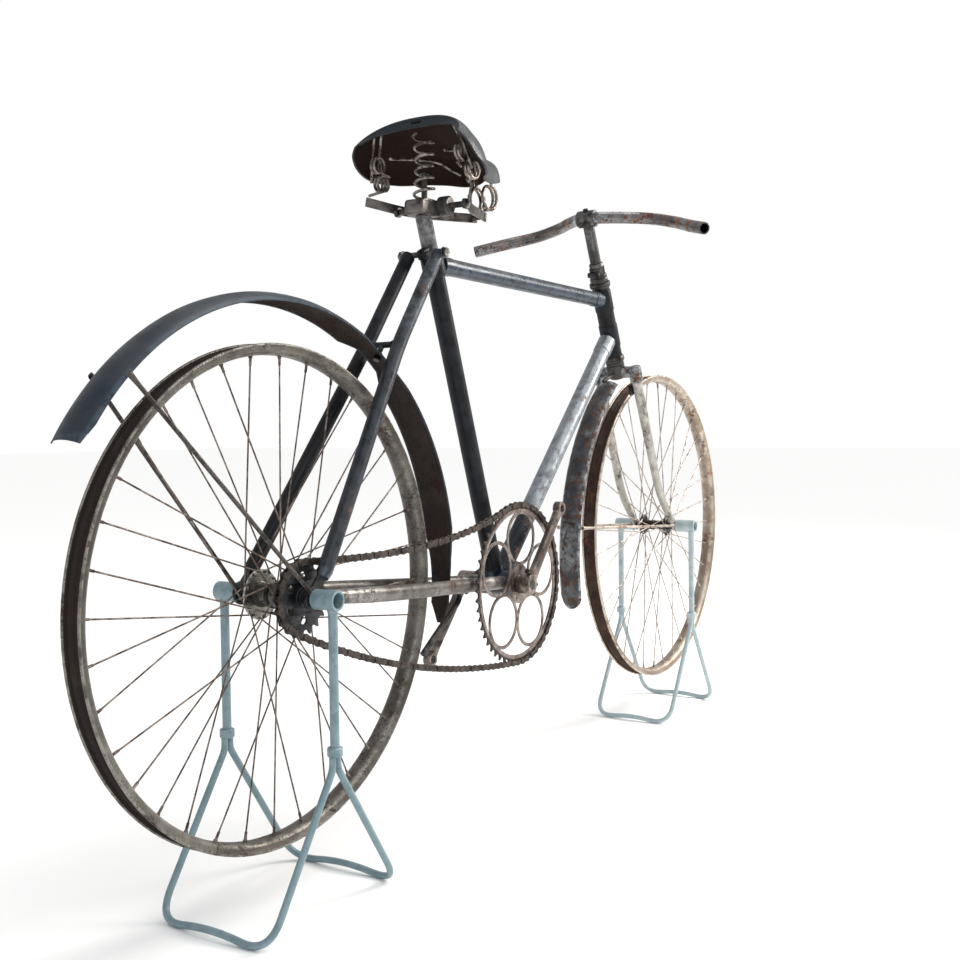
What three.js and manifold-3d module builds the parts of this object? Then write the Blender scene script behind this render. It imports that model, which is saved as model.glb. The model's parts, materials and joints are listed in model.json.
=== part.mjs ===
// A weathered roadster bicycle without tyres, pedals or grips, held at both axles by wire stands.
// Millimetres. +X is forwards, +Y is the rider's left and +Z is up. Lengths along the bicycle are
// measured from the rear axle, and the finished group is moved so that it stands on z = 0.
import * as THREE from "three";
import { mergeVertices } from "three/addons/utils/BufferGeometryUtils.js";
import Module from "manifold-3d";

const wasm = await Module();
wasm.setup();

// Clearances
const SEAT_GAP = 0.3; // between pieces that touch
const TURN_GAP = 0.8; // round a shaft that turns
const TOOTH_GAP = 0.8; // between a toothed wheel and the chain
const MESH_GAP = 1; // between a crimped mudguard and the tube beside it

// Wheels
const WHEELBASE = 1215;
const AXLE_HEIGHT = 400;
const RIM_RADIUS = 323;
const RIM_WIDTH = 31;
const RIM_DEPTH = 15;
const RIM_WALL = 2.6;
const RIM_CHANNEL_DEPTH = 12;
const RIM_SHOULDER = { depth: 9, outer: 13.4, inner: 10.4 };
const RIM_FOOT_HALF = 6;
const SPOKE_COUNT = 36;
const SPOKE_RADIUS = 1.2;
const SPOKE_FIRST_ANGLE = 7.5;
const SPOKE_CROSS_ANGLE = 60; // between a spoke's two ends
const AXLE_RADIUS = 4.8;
const HUB_BARREL_RADIUS = 17;
const REAR_FLANGE_RADIUS = 33;
const REAR_FLANGE_SPREAD = 27; // from the middle plane
const REAR_HUB_RIGHT = 39;
const REAR_HUB_LEFT = 48;
const FRONT_FLANGE_RADIUS = 22;
const FRONT_FLANGE_SPREAD = 27;
const FRONT_HUB_HALF = 36;
const FRONT_BARREL_RADIUS = 11;
const FLANGE_THICKNESS = 3;
const LOCKNUT_RADIUS = 9;
const NUT_HEIGHT = 8;

// Frame tubes
const BOTTOM_BRACKET_X = 546;
const BOTTOM_BRACKET_DROP = 46;
const SHELL_RADIUS = 21;
const SHELL_HALF_WIDTH = 34;
const SEAT_ANGLE = 70.7;
const SEAT_TUBE_LENGTH = 562;
const SEAT_TUBE_RADIUS = 14.8;
const SEAT_LUG_RADIUS = 18;
const SEAT_LUG_LENGTH = 40;
const TOP_TUBE_RADIUS = 13.6;
const TOP_TUBE_BELOW_LUG = 12;
const DOWN_TUBE_RADIUS = 15.9;
const HEAD_ANGLE = 66;
const FORK_OFFSET = 44;
const HEAD_LOWER_END = 398; // along the steering axis, from its point nearest the front axle
const HEAD_UPPER_END = 562;
const HEAD_TUBE_RADIUS = 17;
const HEAD_TUBE_BORE = 14;
const HEAD_CUP_RADIUS = 20.5;
const HEAD_CUP_HEIGHT = 11;
const TOP_TUBE_BELOW_END = 38;
const DOWN_TUBE_ABOVE_END = 54;
const TOP_TUBE_ON_HEAD = HEAD_UPPER_END - TOP_TUBE_BELOW_END;
const DOWN_TUBE_ON_HEAD = HEAD_LOWER_END + DOWN_TUBE_ABOVE_END;
const STEERER_RADIUS = 12.7;

// Rear triangle
const DROPOUT_SPREAD = 60; // middle of each plate
const DROPOUT_THICKNESS = 5;
const DROPOUT_RADIUS = 16;
const CHAIN_STAY_RADIUS = 11;
const CHAIN_STAY_HALF_WIDE = 9; // flattened sideways
const CHAIN_STAY_WAIST = 27; // beside the chainring's edge
const CHAIN_STAY_AT_SHELL = 22;
const SEAT_STAY_RADIUS = 10.6;
const SEAT_STAY_FOOT_OUT = 2.2;
const SEAT_STAY_TOP_SPREAD = 27;
const SEAT_STAY_KINK = { x: 235, z: 334, spread: 29 };

// Drive
const CHAIN_PITCH = 15.875;
const RING_TEETH = 52;
const SPROCKET_TEETH = 18;
const CHAIN_LINE = 43.5; // right of the middle plane
const CHAIN_WIDTH = 8.4;
const CHAIN_PIN_HALF = 6.2;
const CHAIN_WAIST_HALF = 4.6;
// Where the slack chain meets each wheel, in degrees turned upwards from straight ahead
const CHAIN_UPPER_LEAVE = 108;
const CHAIN_LOWER_LEAVE = -94;
const CHAIN_UPPER_ON = 86;
const CHAIN_LOWER_ON = 246;
const TOOTH_THICKNESS = 2.6;
const TOOTH_RISE = 3.6; // above the pitch circle
const TOOTH_FALL = 4; // below it
const RING_BAND = 9;
const RING_LOOP_COUNT = 5;
const RING_LOOP_WALL = 4.5;
const RING_HUB_RADIUS = 33;
const CRANK_LENGTH = 160;
const CRANK_ANGLE = 48; // of the right crank, above level
const CRANK_OUTER_FACE = 70;
const CRANK_THICKNESS = 13;
const CRANK_BOSS_RADIUS = 16;
const CRANK_EYE_RADIUS = 12;
const PEDAL_HOLE_RADIUS = 7;
const CRANK_AXLE_RADIUS = 8;
const COTTER_RADIUS = 4.2;
const SPROCKET_BOSS_RADIUS = 14;
const SPROCKET_BOSS_RISE = 3; // outside the sprocket's plate

// Fork, stem and handlebar
const CROWN_LOWER = 362;
const CROWN_UPPER = 384;
const BLADE_SPREAD = 40;
const BLADE_TOP_RADIUS = 10.5;
const BLADE_TIP_RADIUS = 6.5;
const BLADE_BEND = 93; // where the blades leave the steering axis
const STEERER_RISE = 30; // above the head tube
const STEERER_TOP = HEAD_UPPER_END + STEERER_RISE;
const FORK_END_RADIUS = 12;
const FORK_END_SPREAD = 45;
const FORK_END_THICKNESS = 5;
const FORK_END_CLEARANCE = 20; // round the axle, beside the end plates
const STEM_RISE = 96; // above the steerer
const BAR_ON_AXIS = STEERER_TOP + STEM_RISE;
const BAR_RADIUS = 11.1;
const BAR_BORE = 8.6;
const STEM_RADIUS = 10.6;

// Saddle
const POST_RADIUS = 12.4;
const POST_RISE = 78; // above the seat tube
const POST_TOP = SEAT_TUBE_LENGTH + POST_RISE;
const POST_DEPTH = 66; // inside the seat tube
const SADDLE_SKIN = 4;

// Mudguards
const GUARD_SKIN = 1.6;
const GUARD_CROWN = 11; // rise of the ridge above the edges
const REAR_GUARD_RIDGE = 388;
const FRONT_GUARD_TOP = 386;
const FRONT_GUARD_TIP = 420;
const GUARD_STAY_RADIUS = 2.8;
const GUARD_EYE_THICKNESS = 2;

// Stands
const SOCKET_RADIUS = 13;
const SOCKET_BORE = 10;
const STAND_POST_RADIUS = 6;
const STAND_ROD_RADIUS = 4.6;
const STAND_SPLIT_DROP = 196;
const STAND_REACH = 128;
const STAND_CORNER = 42;
const STAND_BASE_SLOPE = 0.13; // the base bar climbs towards its middle
const STAND_CORNER_CUT = 5.3; // the bend stays this far above its corner
const REAR_SOCKET_OUTER = 101;
const FRONT_SOCKET_OUTER = 91;

// Fineness of the round shapes
const TUBE_SIDES = 12;
const ROD_SIDES = 6;
const WHEEL_STEPS = 48;
const ARC_STEPS = 8;

const radians = THREE.MathUtils.degToRad;
const v = (x, y, z) => new THREE.Vector3(x, y, z);
const lerp = THREE.MathUtils.lerp;
const Y = v(0, 1, 0);

// Places worked out from the driving dimensions
const rearAxle = v(0, 0, 0);
const frontAxle = v(WHEELBASE, 0, 0);
const bottomBracket = v(BOTTOM_BRACKET_X, 0, -BOTTOM_BRACKET_DROP);
const seatDirection = v(-Math.cos(radians(SEAT_ANGLE)), 0, Math.sin(radians(SEAT_ANGLE)));
const steerDirection = v(-Math.cos(radians(HEAD_ANGLE)), 0, Math.sin(radians(HEAD_ANGLE)));
const steerForward = v(Math.sin(radians(HEAD_ANGLE)), 0, Math.cos(radians(HEAD_ANGLE)));
const steerFoot = frontAxle.clone().addScaledVector(steerForward, -FORK_OFFSET);
const onSeatTube = (distance) => bottomBracket.clone().addScaledVector(seatDirection, distance);
const onSteering = (distance) => steerFoot.clone().addScaledVector(steerDirection, distance);
const pitchRadius = (teeth) => CHAIN_PITCH / (2 * Math.sin(Math.PI / teeth));
const RING_PITCH_RADIUS = pitchRadius(RING_TEETH);
const SPROCKET_PITCH_RADIUS = pitchRadius(SPROCKET_TEETH);
const SPROCKET_BOSS_OUTER = CHAIN_LINE + TOOTH_THICKNESS / 2 + SPROCKET_BOSS_RISE;
const RING_EDGE_X = BOTTOM_BRACKET_X - RING_PITCH_RADIUS - TOOTH_RISE;

// A closed geometry with shared vertices, no collapsed faces and its faces pointing out.
function closed(geometry) {
  const bare = new THREE.BufferGeometry();
  const source = geometry.index ? geometry.toNonIndexed() : geometry;
  bare.setAttribute("position", source.getAttribute("position"));
  const merged = mergeVertices(bare, 1e-3);
  const p = merged.attributes.position;
  const kept = [];
  let volume = 0;
  for (let i = 0; i < merged.index.count; i += 3) {
    const [a, b, c] = [0, 1, 2].map((k) => merged.index.getX(i + k));
    if (a === b || b === c || c === a) continue;
    kept.push(a, b, c);
    const corner = (k) => v(p.getX(k), p.getY(k), p.getZ(k));
    volume += corner(a).dot(corner(b).cross(corner(c)));
  }
  if (volume < 0) kept.reverse();
  merged.setIndex(kept);
  return merged;
}

function toSolid(geometry) {
  const shape = closed(geometry);
  return new wasm.Manifold(
    new wasm.Mesh({
      numProp: 3,
      vertProperties: shape.attributes.position.array,
      triVerts: new Uint32Array(shape.index.array),
    }),
  );
}

function toGeometry(solid) {
  const mesh = solid.getMesh();
  const geometry = new THREE.BufferGeometry();
  geometry.setAttribute("position", new THREE.BufferAttribute(mesh.vertProperties, 3));
  geometry.setIndex(new THREE.BufferAttribute(mesh.triVerts, 1));
  return geometry;
}

// Slivers and small pockets that crossing rods leave are dropped.
const SLIVER_VOLUME = 0.02;
function tidied(solid) {
  const bodies = toSolid(toGeometry(solid)).decompose();
  const real = bodies.filter((body) => body.volume() > SLIVER_VOLUME);
  return toGeometry(real.reduce((a, b) => a.add(b)));
}

const join = (...shapes) => tidied(shapes.map(toSolid).reduce((a, b) => a.add(b)));
const cut = (shape, ...tools) =>
  tidied(tools.map(toSolid).reduce((a, b) => a.subtract(b), toSolid(shape)));

// A straight round rod between two points.
function rod(from, to, radius, sides = TUBE_SIDES, endRadius = radius) {
  const along = to.clone().sub(from);
  const geometry = new THREE.CylinderGeometry(endRadius, radius, along.length(), sides);
  const turn = new THREE.Quaternion().setFromUnitVectors(Y, along.clone().normalize());
  geometry.applyQuaternion(turn);
  return geometry.translate(...from.clone().lerp(to, 0.5).toArray());
}

// A rod across the bicycle, between two distances to the left.
const crossRod = (centre, left, right, radius, sides = TUBE_SIDES) =>
  rod(v(centre.x, left, centre.z), v(centre.x, right, centre.z), radius, sides);

function block(length, width, height, centre, turn = 0) {
  const geometry = new THREE.BoxGeometry(length, width, height);
  return geometry.rotateY(turn).translate(centre.x, centre.y, centre.z);
}

// A curve through chosen points that spends one step on each.
class Route extends THREE.Curve {
  constructor(points) {
    super();
    this.points = points;
  }
  getPoint(t) {
    const place = t * (this.points.length - 1);
    const i = Math.min(Math.floor(place), this.points.length - 2);
    return this.points[i].clone().lerp(this.points[i + 1], place - i);
  }
  getPointAt(u) {
    return this.getPoint(u);
  }
  getTangentAt(u) {
    return this.getTangent(u);
  }
}

// Corner points joined by straight stretches and rounded bends.
function rounded(corners, bend, bendSteps = 5) {
  const points = [corners[0]];
  for (let i = 1; i < corners.length - 1; i++) {
    const [before, corner, after] = [corners[i - 1], corners[i], corners[i + 1]];
    const reach = Math.min(bend, corner.distanceTo(before) / 2.01, corner.distanceTo(after) / 2.01);
    const start = corner.clone().add(before.clone().sub(corner).setLength(reach));
    const end = corner.clone().add(after.clone().sub(corner).setLength(reach));
    const curve = new THREE.QuadraticBezierCurve3(start, corner, end);
    points.push(...curve.getPoints(bendSteps));
  }
  points.push(corners[corners.length - 1]);
  return points;
}

function bentRod(points, radius, sides = ROD_SIDES) {
  const section = new THREE.Shape(
    Array.from({ length: sides }, (_, i) => {
      const angle = ((i + 0.5) * 2 * Math.PI) / sides;
      return new THREE.Vector2(radius * Math.cos(angle), radius * Math.sin(angle));
    }),
  );
  return new THREE.ExtrudeGeometry(section, {
    steps: points.length - 1,
    bevelEnabled: false,
    extrudePath: new Route(points),
  });
}

// A skin closed over rings of points, each ring with the same number of points. A ring is closed
// by a strip between its first half and its second, so it may be a bent strip's outline.
function loft(rings) {
  const count = rings[0].length;
  const faces = [];
  for (let r = 0; r < rings.length - 1; r++)
    for (let i = 0; i < count; i++) {
      const [a, b] = [r * count + i, r * count + ((i + 1) % count)];
      faces.push(a, b, a + count, b, b + count, a + count);
    }
  const endCap = (start, flip) => {
    for (let i = 0; i < count / 2 - 1; i++) {
      const [a, b] = [start + i, start + i + 1];
      const [c, d] = [start + count - 2 - i, start + count - 1 - i];
      faces.push(...(flip ? [a, b, d, b, c, d] : [b, a, d, c, b, d]));
    }
  };
  endCap(0, false);
  endCap((rings.length - 1) * count, true);
  return new THREE.BufferGeometry().setFromPoints(rings.flat()).setIndex(faces);
}

// A tube whose oval section changes along its points: radii gives [sideways, upwards] at each.
function taperedTube(points, radii, sides = TUBE_SIDES) {
  const route = new Route(points);
  return loft(
    points.map((point, k) => {
      const along = route.getTangent(k / (points.length - 1));
      const up = along.clone().cross(Y).normalize();
      const sideways = up.clone().cross(along).normalize();
      const [wide, high] = radii[k];
      return Array.from({ length: sides }, (_, i) => {
        const angle = (i * 2 * Math.PI) / sides;
        return point
          .clone()
          .addScaledVector(sideways, wide * Math.cos(angle))
          .addScaledVector(up, high * Math.sin(angle));
      });
    }),
  );
}

// A shape drawn in the side view (x forwards, y up) and made thick across the bicycle.
function sidePlate(shape, thickness, centreY, steps = ARC_STEPS) {
  const geometry = new THREE.ExtrudeGeometry(shape, {
    depth: thickness,
    bevelEnabled: false,
    curveSegments: steps,
  });
  return geometry.rotateX(Math.PI / 2).translate(0, centreY + thickness / 2, 0);
}

// A ring or disc turned about a cross axle, from a profile of [radius, distance to the left].
const turned = (profile, centre = rearAxle, steps = WHEEL_STEPS) =>
  new THREE.LatheGeometry(
    profile.map(([radius, y]) => new THREE.Vector2(radius, y)),
    steps,
  ).translate(centre.x, 0, centre.z);

function disc(shape, x, y, radius) {
  shape.absarc(x, y, radius, 0, 2 * Math.PI, false);
  return shape;
}

const roundHole = (x, y, radius) => disc(new THREE.Path(), x, y, radius);

// Finishes: colour, roughness, metalness
const FINISHES = {
  framePaint: [0x2c3640, 0.5, 0.4],
  bareSteel: [0x8a8580, 0.4, 0.8],
  rustySteel: [0x6a4a38, 0.8, 0.5],
  guardPaint: [0x2b3138, 0.6, 0.3],
  nickel: [0xa79a8c, 0.35, 0.9],
  greasySteel: [0x23272c, 0.55, 0.5],
  saddleHide: [0x2b241f, 0.75, 0.1],
  standPaint: [0x9db4bd, 0.5, 0.3],
};

const bicycle = new THREE.Group();
const fromAxle = new THREE.Group();
fromAxle.position.z = AXLE_HEIGHT;
bicycle.add(fromAxle);

function piece(name, geometry, finish) {
  const [color, roughness, metalness] = FINISHES[finish];
  const shape = closed(geometry);
  shape.computeVertexNormals();
  const mesh = new THREE.Mesh(
    shape,
    new THREE.MeshStandardMaterial({ color, roughness, metalness }),
  );
  mesh.name = name;
  fromAxle.add(mesh);
  return mesh;
}

const SIDES = [
  ["right", -1],
  ["left", 1],
];

// Wheels

function rim(name, centre) {
  const half = RIM_WIDTH / 2;
  const inner = RIM_RADIUS - RIM_DEPTH;
  const shoulder = RIM_RADIUS - RIM_SHOULDER.depth;
  const floor = RIM_RADIUS - RIM_CHANNEL_DEPTH;
  const profile = [
    [RIM_RADIUS, -half],
    [RIM_RADIUS, -half + RIM_WALL],
    [shoulder, -RIM_SHOULDER.inner],
    [floor, -RIM_FOOT_HALF],
    [floor, RIM_FOOT_HALF],
    [shoulder, RIM_SHOULDER.inner],
    [RIM_RADIUS, half - RIM_WALL],
    [RIM_RADIUS, half],
    [shoulder, RIM_SHOULDER.outer],
    [inner, RIM_FOOT_HALF],
    [inner, -RIM_FOOT_HALF],
    [shoulder, -RIM_SHOULDER.outer],
    [RIM_RADIUS, -half],
  ];
  return piece(name, turned(profile, centre), "rustySteel");
}

// Spokes run from alternate flanges, each leading or trailing its end at the rim by the cross
// angle. Leading ones lie outside their flange and trailing ones inside it.
function spokedHub(name, centre, { flangeRadius, spread, barrel, right, left }) {
  const bore = AXLE_RADIUS + TURN_GAP;
  const face = FLANGE_THICKNESS / 2;
  const profile = [
    [bore, -right],
    [barrel, -right],
    [barrel, -spread - face],
    [flangeRadius, -spread - face],
    [flangeRadius, -spread + face],
    [barrel, -spread + face],
    [barrel, spread - face],
    [flangeRadius, spread - face],
    [flangeRadius, spread + face],
    [barrel, spread + face],
    [barrel, left],
    [bore, left],
    [bore, -right],
  ];
  const hole = flangeRadius - SPOKE_RADIUS - 2;
  const beside = face + SPOKE_RADIUS * 0.5;
  const end = RIM_RADIUS - RIM_DEPTH - SPOKE_RADIUS - SEAT_GAP;
  const spokes = Array.from({ length: SPOKE_COUNT }, (_, i) => {
    const rimAngle = radians(SPOKE_FIRST_ANGLE + (i * 360) / SPOKE_COUNT);
    const side = i % 2 ? 1 : -1;
    const lead = i % 4 < 2 ? 1 : -1;
    const hubAngle = rimAngle + lead * radians(SPOKE_CROSS_ANGLE);
    const y = side * (spread + lead * beside);
    const from = v(hole * Math.cos(hubAngle), y, hole * Math.sin(hubAngle));
    return rod(from, v(end * Math.cos(rimAngle), 0, end * Math.sin(rimAngle)), SPOKE_RADIUS, 4);
  });
  const wheel = join(turned(profile, rearAxle, 18), ...spokes);
  return piece(name, wheel.translate(centre.x, 0, centre.z), "rustySteel");
}

rim("rear_rim", rearAxle);
rim("front_rim", frontAxle);
spokedHub("rear_hub_and_spokes", rearAxle, {
  flangeRadius: REAR_FLANGE_RADIUS,
  spread: REAR_FLANGE_SPREAD,
  barrel: HUB_BARREL_RADIUS,
  right: REAR_HUB_RIGHT,
  left: REAR_HUB_LEFT,
});
spokedHub("front_hub_and_spokes", frontAxle, {
  flangeRadius: FRONT_FLANGE_RADIUS,
  spread: FRONT_FLANGE_SPREAD,
  barrel: FRONT_BARREL_RADIUS,
  right: FRONT_HUB_HALF,
  left: FRONT_HUB_HALF,
});

// Axles: a rod, a locknut inside each fork end and a hexagon nut outside it

function axle(name, centre, { plateSpread, plateThickness, lockRight, lockLeft }) {
  const inside = plateSpread - plateThickness / 2 - SEAT_GAP;
  const eye = GUARD_EYE_THICKNESS + SEAT_GAP;
  const nutStart = plateSpread + plateThickness / 2 + SEAT_GAP + eye;
  const end = nutStart + NUT_HEIGHT + 12;
  return piece(
    name,
    join(
      crossRod(centre, -end, end, AXLE_RADIUS),
      crossRod(centre, -inside, -lockRight, LOCKNUT_RADIUS),
      crossRod(centre, lockLeft, inside, LOCKNUT_RADIUS),
      crossRod(centre, nutStart, nutStart + NUT_HEIGHT, SOCKET_BORE - SEAT_GAP, 6),
      crossRod(centre, -nutStart, -nutStart - NUT_HEIGHT, SOCKET_BORE - SEAT_GAP, 6),
    ),
    "greasySteel",
  );
}


axle("rear_axle", rearAxle, {
  plateSpread: DROPOUT_SPREAD,
  plateThickness: DROPOUT_THICKNESS,
  lockRight: SPROCKET_BOSS_OUTER + TURN_GAP,
  lockLeft: REAR_HUB_LEFT + TURN_GAP,
});
axle("front_axle", frontAxle, {
  plateSpread: FORK_END_SPREAD,
  plateThickness: FORK_END_THICKNESS,
  lockRight: FRONT_HUB_HALF + TURN_GAP,
  lockLeft: FRONT_HUB_HALF + TURN_GAP,
});

// Toothed wheels

function toothedOutline(teeth, phase) {
  const radius = pitchRadius(teeth);
  const shape = new THREE.Shape();
  const step = (2 * Math.PI) / teeth;
  // Each tooth: [share of a step from its middle, height above the pitch circle]
  const tooth = [
    [-0.5, -TOOTH_FALL],
    [-0.12, TOOTH_RISE],
    [0.12, TOOTH_RISE],
  ];
  for (let i = 0; i < teeth; i++)
    tooth.forEach(([share, rise], k) => {
      const angle = phase + (i + share) * step;
      const [x, y] = [(radius + rise) * Math.cos(angle), (radius + rise) * Math.sin(angle)];
      if (i || k) shape.lineTo(x, y);
      else shape.moveTo(x, y);
    });
  return shape;
}

// The ring's five thin loops touch each other, the toothed band and the hub.
const ringInner = RING_PITCH_RADIUS - TOOTH_FALL - RING_BAND;
const loopSine = Math.sin(Math.PI / RING_LOOP_COUNT);
const LOOP_TOUCH = 2.4; // how far neighbouring loops run into each other
const loopCentre = (ringInner + 3 - LOOP_TOUCH / 2) / (1 + loopSine);
const loopOuter = loopCentre * loopSine + LOOP_TOUCH / 2;

function chainring() {
  const band = toothedOutline(RING_TEETH, 0);
  band.holes.push(roundHole(0, 0, ringInner));
  const parts = [sidePlate(band, TOOTH_THICKNESS, 0, 14)];
  for (let i = 0; i < RING_LOOP_COUNT; i++) {
    const angle = radians(CRANK_ANGLE) + ((i + 0.5) * 2 * Math.PI) / RING_LOOP_COUNT;
    const [x, y] = [loopCentre * Math.cos(angle), loopCentre * Math.sin(angle)];
    const loop = disc(new THREE.Shape(), x, y, loopOuter);
    loop.holes.push(roundHole(x, y, loopOuter - RING_LOOP_WALL));
    parts.push(sidePlate(loop, TOOTH_THICKNESS, 0, 9));
  }
  parts.push(sidePlate(disc(new THREE.Shape(), 0, 0, RING_HUB_RADIUS), TOOTH_THICKNESS, 0));
  const ring = cut(join(...parts), crossRod(rearAxle, -5, 5, CRANK_AXLE_RADIUS + SEAT_GAP));
  return ring.translate(bottomBracket.x, -CHAIN_LINE, bottomBracket.z);
}
piece("chainring", chainring(), "nickel");

function sprocket() {
  const plate = toothedOutline(SPROCKET_TEETH, Math.PI / 2);
  const bore = AXLE_RADIUS + TURN_GAP;
  plate.holes.push(roundHole(0, 0, bore));
  const HOLES = 6;
  for (let i = 0; i < HOLES; i++) {
    const angle = (i * 2 * Math.PI) / HOLES;
    plate.holes.push(roundHole(28 * Math.cos(angle), 28 * Math.sin(angle), 6));
  }
  const boss = disc(new THREE.Shape(), 0, 0, SPROCKET_BOSS_RADIUS);
  boss.holes.push(roundHole(0, 0, bore));
  const inner = REAR_HUB_RIGHT + SEAT_GAP;
  const thickness = SPROCKET_BOSS_OUTER - inner;
  return join(
    sidePlate(plate, TOOTH_THICKNESS, -CHAIN_LINE, 6),
    sidePlate(boss, thickness, -inner - thickness / 2, 6),
  );
}
piece("rear_sprocket", sprocket(), "greasySteel");

// Chain: one slack loop whose plates bulge at each pin, grooved so that the teeth run inside it

function chainLoop() {
  const ring = new THREE.Vector2(bottomBracket.x, bottomBracket.z);
  const upperLeave = radians(CHAIN_UPPER_LEAVE);
  const lowerLeave = radians(CHAIN_LOWER_LEAVE);
  const upperOn = radians(CHAIN_UPPER_ON);
  const lowerOn = radians(CHAIN_LOWER_ON);
  const on = (centre, radius, angle) =>
    new THREE.Vector2(centre.x + radius * Math.cos(angle), centre.y + radius * Math.sin(angle));
  // Where the tangents at both ends of a slack run meet
  const meet = (a, aAngle, b, bAngle) => {
    const [da, db] = [
      new THREE.Vector2(-Math.sin(aAngle), Math.cos(aAngle)),
      new THREE.Vector2(-Math.sin(bAngle), Math.cos(bAngle)),
    ];
    const along = b.clone().sub(a).cross(db) / da.cross(db);
    return a.clone().addScaledVector(da, along);
  };
  const rear = new THREE.Vector2(0, 0);
  const path = new THREE.Path();
  const upperRear = on(rear, SPROCKET_PITCH_RADIUS, upperOn);
  const lowerRear = on(rear, SPROCKET_PITCH_RADIUS, lowerOn);
  const lowerRing = on(ring, RING_PITCH_RADIUS, lowerLeave);
  const upperRing = on(ring, RING_PITCH_RADIUS, upperLeave);
  const upper = meet(upperRing, upperLeave, upperRear, upperOn);
  const lower = meet(lowerRing, lowerLeave, lowerRear, lowerOn);
  path.absarc(ring.x, ring.y, RING_PITCH_RADIUS, lowerLeave, upperLeave, false);
  path.quadraticCurveTo(upper.x, upper.y, upperRear.x, upperRear.y);
  path.absarc(0, 0, SPROCKET_PITCH_RADIUS, upperOn, lowerOn, false);
  path.quadraticCurveTo(lower.x, lower.y, lowerRing.x, lowerRing.y);
  return path;
}

const CHAIN_SAMPLES = 1; // outline points for each link

function chain() {
  const path = chainLoop();
  const links = 2 * Math.round(path.getLength() / CHAIN_PITCH / 2);
  const count = links * CHAIN_SAMPLES;
  const outline = (side) =>
    Array.from({ length: count }, (_, i) => {
      const u = i / count;
      const along = path.getTangentAt(u);
      const share = Math.abs(Math.sin((Math.PI * i) / CHAIN_SAMPLES));
      const half = lerp(CHAIN_PIN_HALF, CHAIN_WAIST_HALF, share);
      return path.getPointAt(u).add(new THREE.Vector2(along.y, -along.x).multiplyScalar(side * half));
    });
  const band = new THREE.Shape(outline(1));
  band.holes.push(new THREE.Path(outline(-1)));
  const groove = TOOTH_THICKNESS + 2 * TOOTH_GAP;
  const round = (centre, radius) =>
    crossRod(centre, -CHAIN_LINE - groove / 2, -CHAIN_LINE + groove / 2, radius, WHEEL_STEPS);
  const reach = TOOTH_RISE + TOOTH_GAP;
  return cut(
    sidePlate(band, CHAIN_WIDTH, -CHAIN_LINE),
    round(rearAxle, SPROCKET_PITCH_RADIUS + reach),
    round(bottomBracket, RING_PITCH_RADIUS + reach),
  );
}
piece("chain", chain(), "rustySteel");

// Cranks: tapered arms with a cotter through each boss and an empty pedal eye. The right boss
// reaches in to the chainring and the left one to the bottom bracket.

const crankInner = CRANK_OUTER_FACE - CRANK_THICKNESS;
const CRANK_WAIST = 9; // half the arm's height in the middle
const COTTER_ENDS = [-CRANK_BOSS_RADIUS - 7, CRANK_BOSS_RADIUS + 5];
function crank(side, angle, bossInner) {
  const shape = new THREE.Shape();
  const bossEnd = CRANK_BOSS_RADIUS + 8;
  const eyeStart = CRANK_LENGTH - CRANK_EYE_RADIUS - 6;
  shape.absarc(0, 0, CRANK_BOSS_RADIUS, Math.PI / 2, 1.5 * Math.PI, false);
  shape.lineTo(bossEnd, -CRANK_WAIST - 1);
  shape.lineTo(eyeStart, -CRANK_WAIST + 1);
  shape.absarc(CRANK_LENGTH, 0, CRANK_EYE_RADIUS, -2.3, 2.3, false);
  shape.lineTo(eyeStart, CRANK_WAIST - 1);
  shape.lineTo(bossEnd, CRANK_WAIST + 1);
  shape.closePath();
  shape.holes.push(roundHole(CRANK_LENGTH, 0, PEDAL_HOLE_RADIUS));
  const arm = sidePlate(shape, CRANK_THICKNESS, side * (crankInner + CRANK_THICKNESS / 2));
  const cotterPlace = CRANK_AXLE_RADIUS + COTTER_RADIUS + SEAT_GAP;
  const [cotterFoot, cotterHead] = COTTER_ENDS.map((z) =>
    v(cotterPlace, side * (crankInner + CRANK_THICKNESS / 2), z),
  );
  const turn = -radians(angle);
  const solid = join(
    arm.rotateY(turn),
    crossRod(rearAxle, side * bossInner, side * (crankInner + 2), CRANK_BOSS_RADIUS),
    rod(cotterFoot, cotterHead, COTTER_RADIUS, ROD_SIDES).rotateY(turn),
  );
  const hole = crossRod(rearAxle, -100, 100, CRANK_AXLE_RADIUS + SEAT_GAP);
  return cut(solid, hole).translate(bottomBracket.x, 0, bottomBracket.z);
}
const ringOuterFace = CHAIN_LINE + TOOTH_THICKNESS / 2;
piece("crank_right", crank(-1, CRANK_ANGLE, ringOuterFace + SEAT_GAP), "nickel");
piece("crank_left", crank(1, CRANK_ANGLE + 180, SHELL_HALF_WIDTH + 5), "nickel");
piece(
  "crank_axle",
  crossRod(bottomBracket, -CRANK_OUTER_FACE, CRANK_OUTER_FACE, CRANK_AXLE_RADIUS),
  "greasySteel",
);

// Frame tubes, each ending at the piece that carries it

const shellCut = crossRod(
  bottomBracket,
  -SHELL_HALF_WIDTH - 5,
  SHELL_HALF_WIDTH + 5,
  SHELL_RADIUS + SEAT_GAP,
  18,
);
piece(
  "bottom_bracket_shell",
  cut(
    crossRod(bottomBracket, -SHELL_HALF_WIDTH, SHELL_HALF_WIDTH, SHELL_RADIUS, 18),
    crossRod(bottomBracket, -SHELL_HALF_WIDTH - 5, SHELL_HALF_WIDTH + 5, CRANK_AXLE_RADIUS + TURN_GAP),
  ),
  "framePaint",
);

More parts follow.
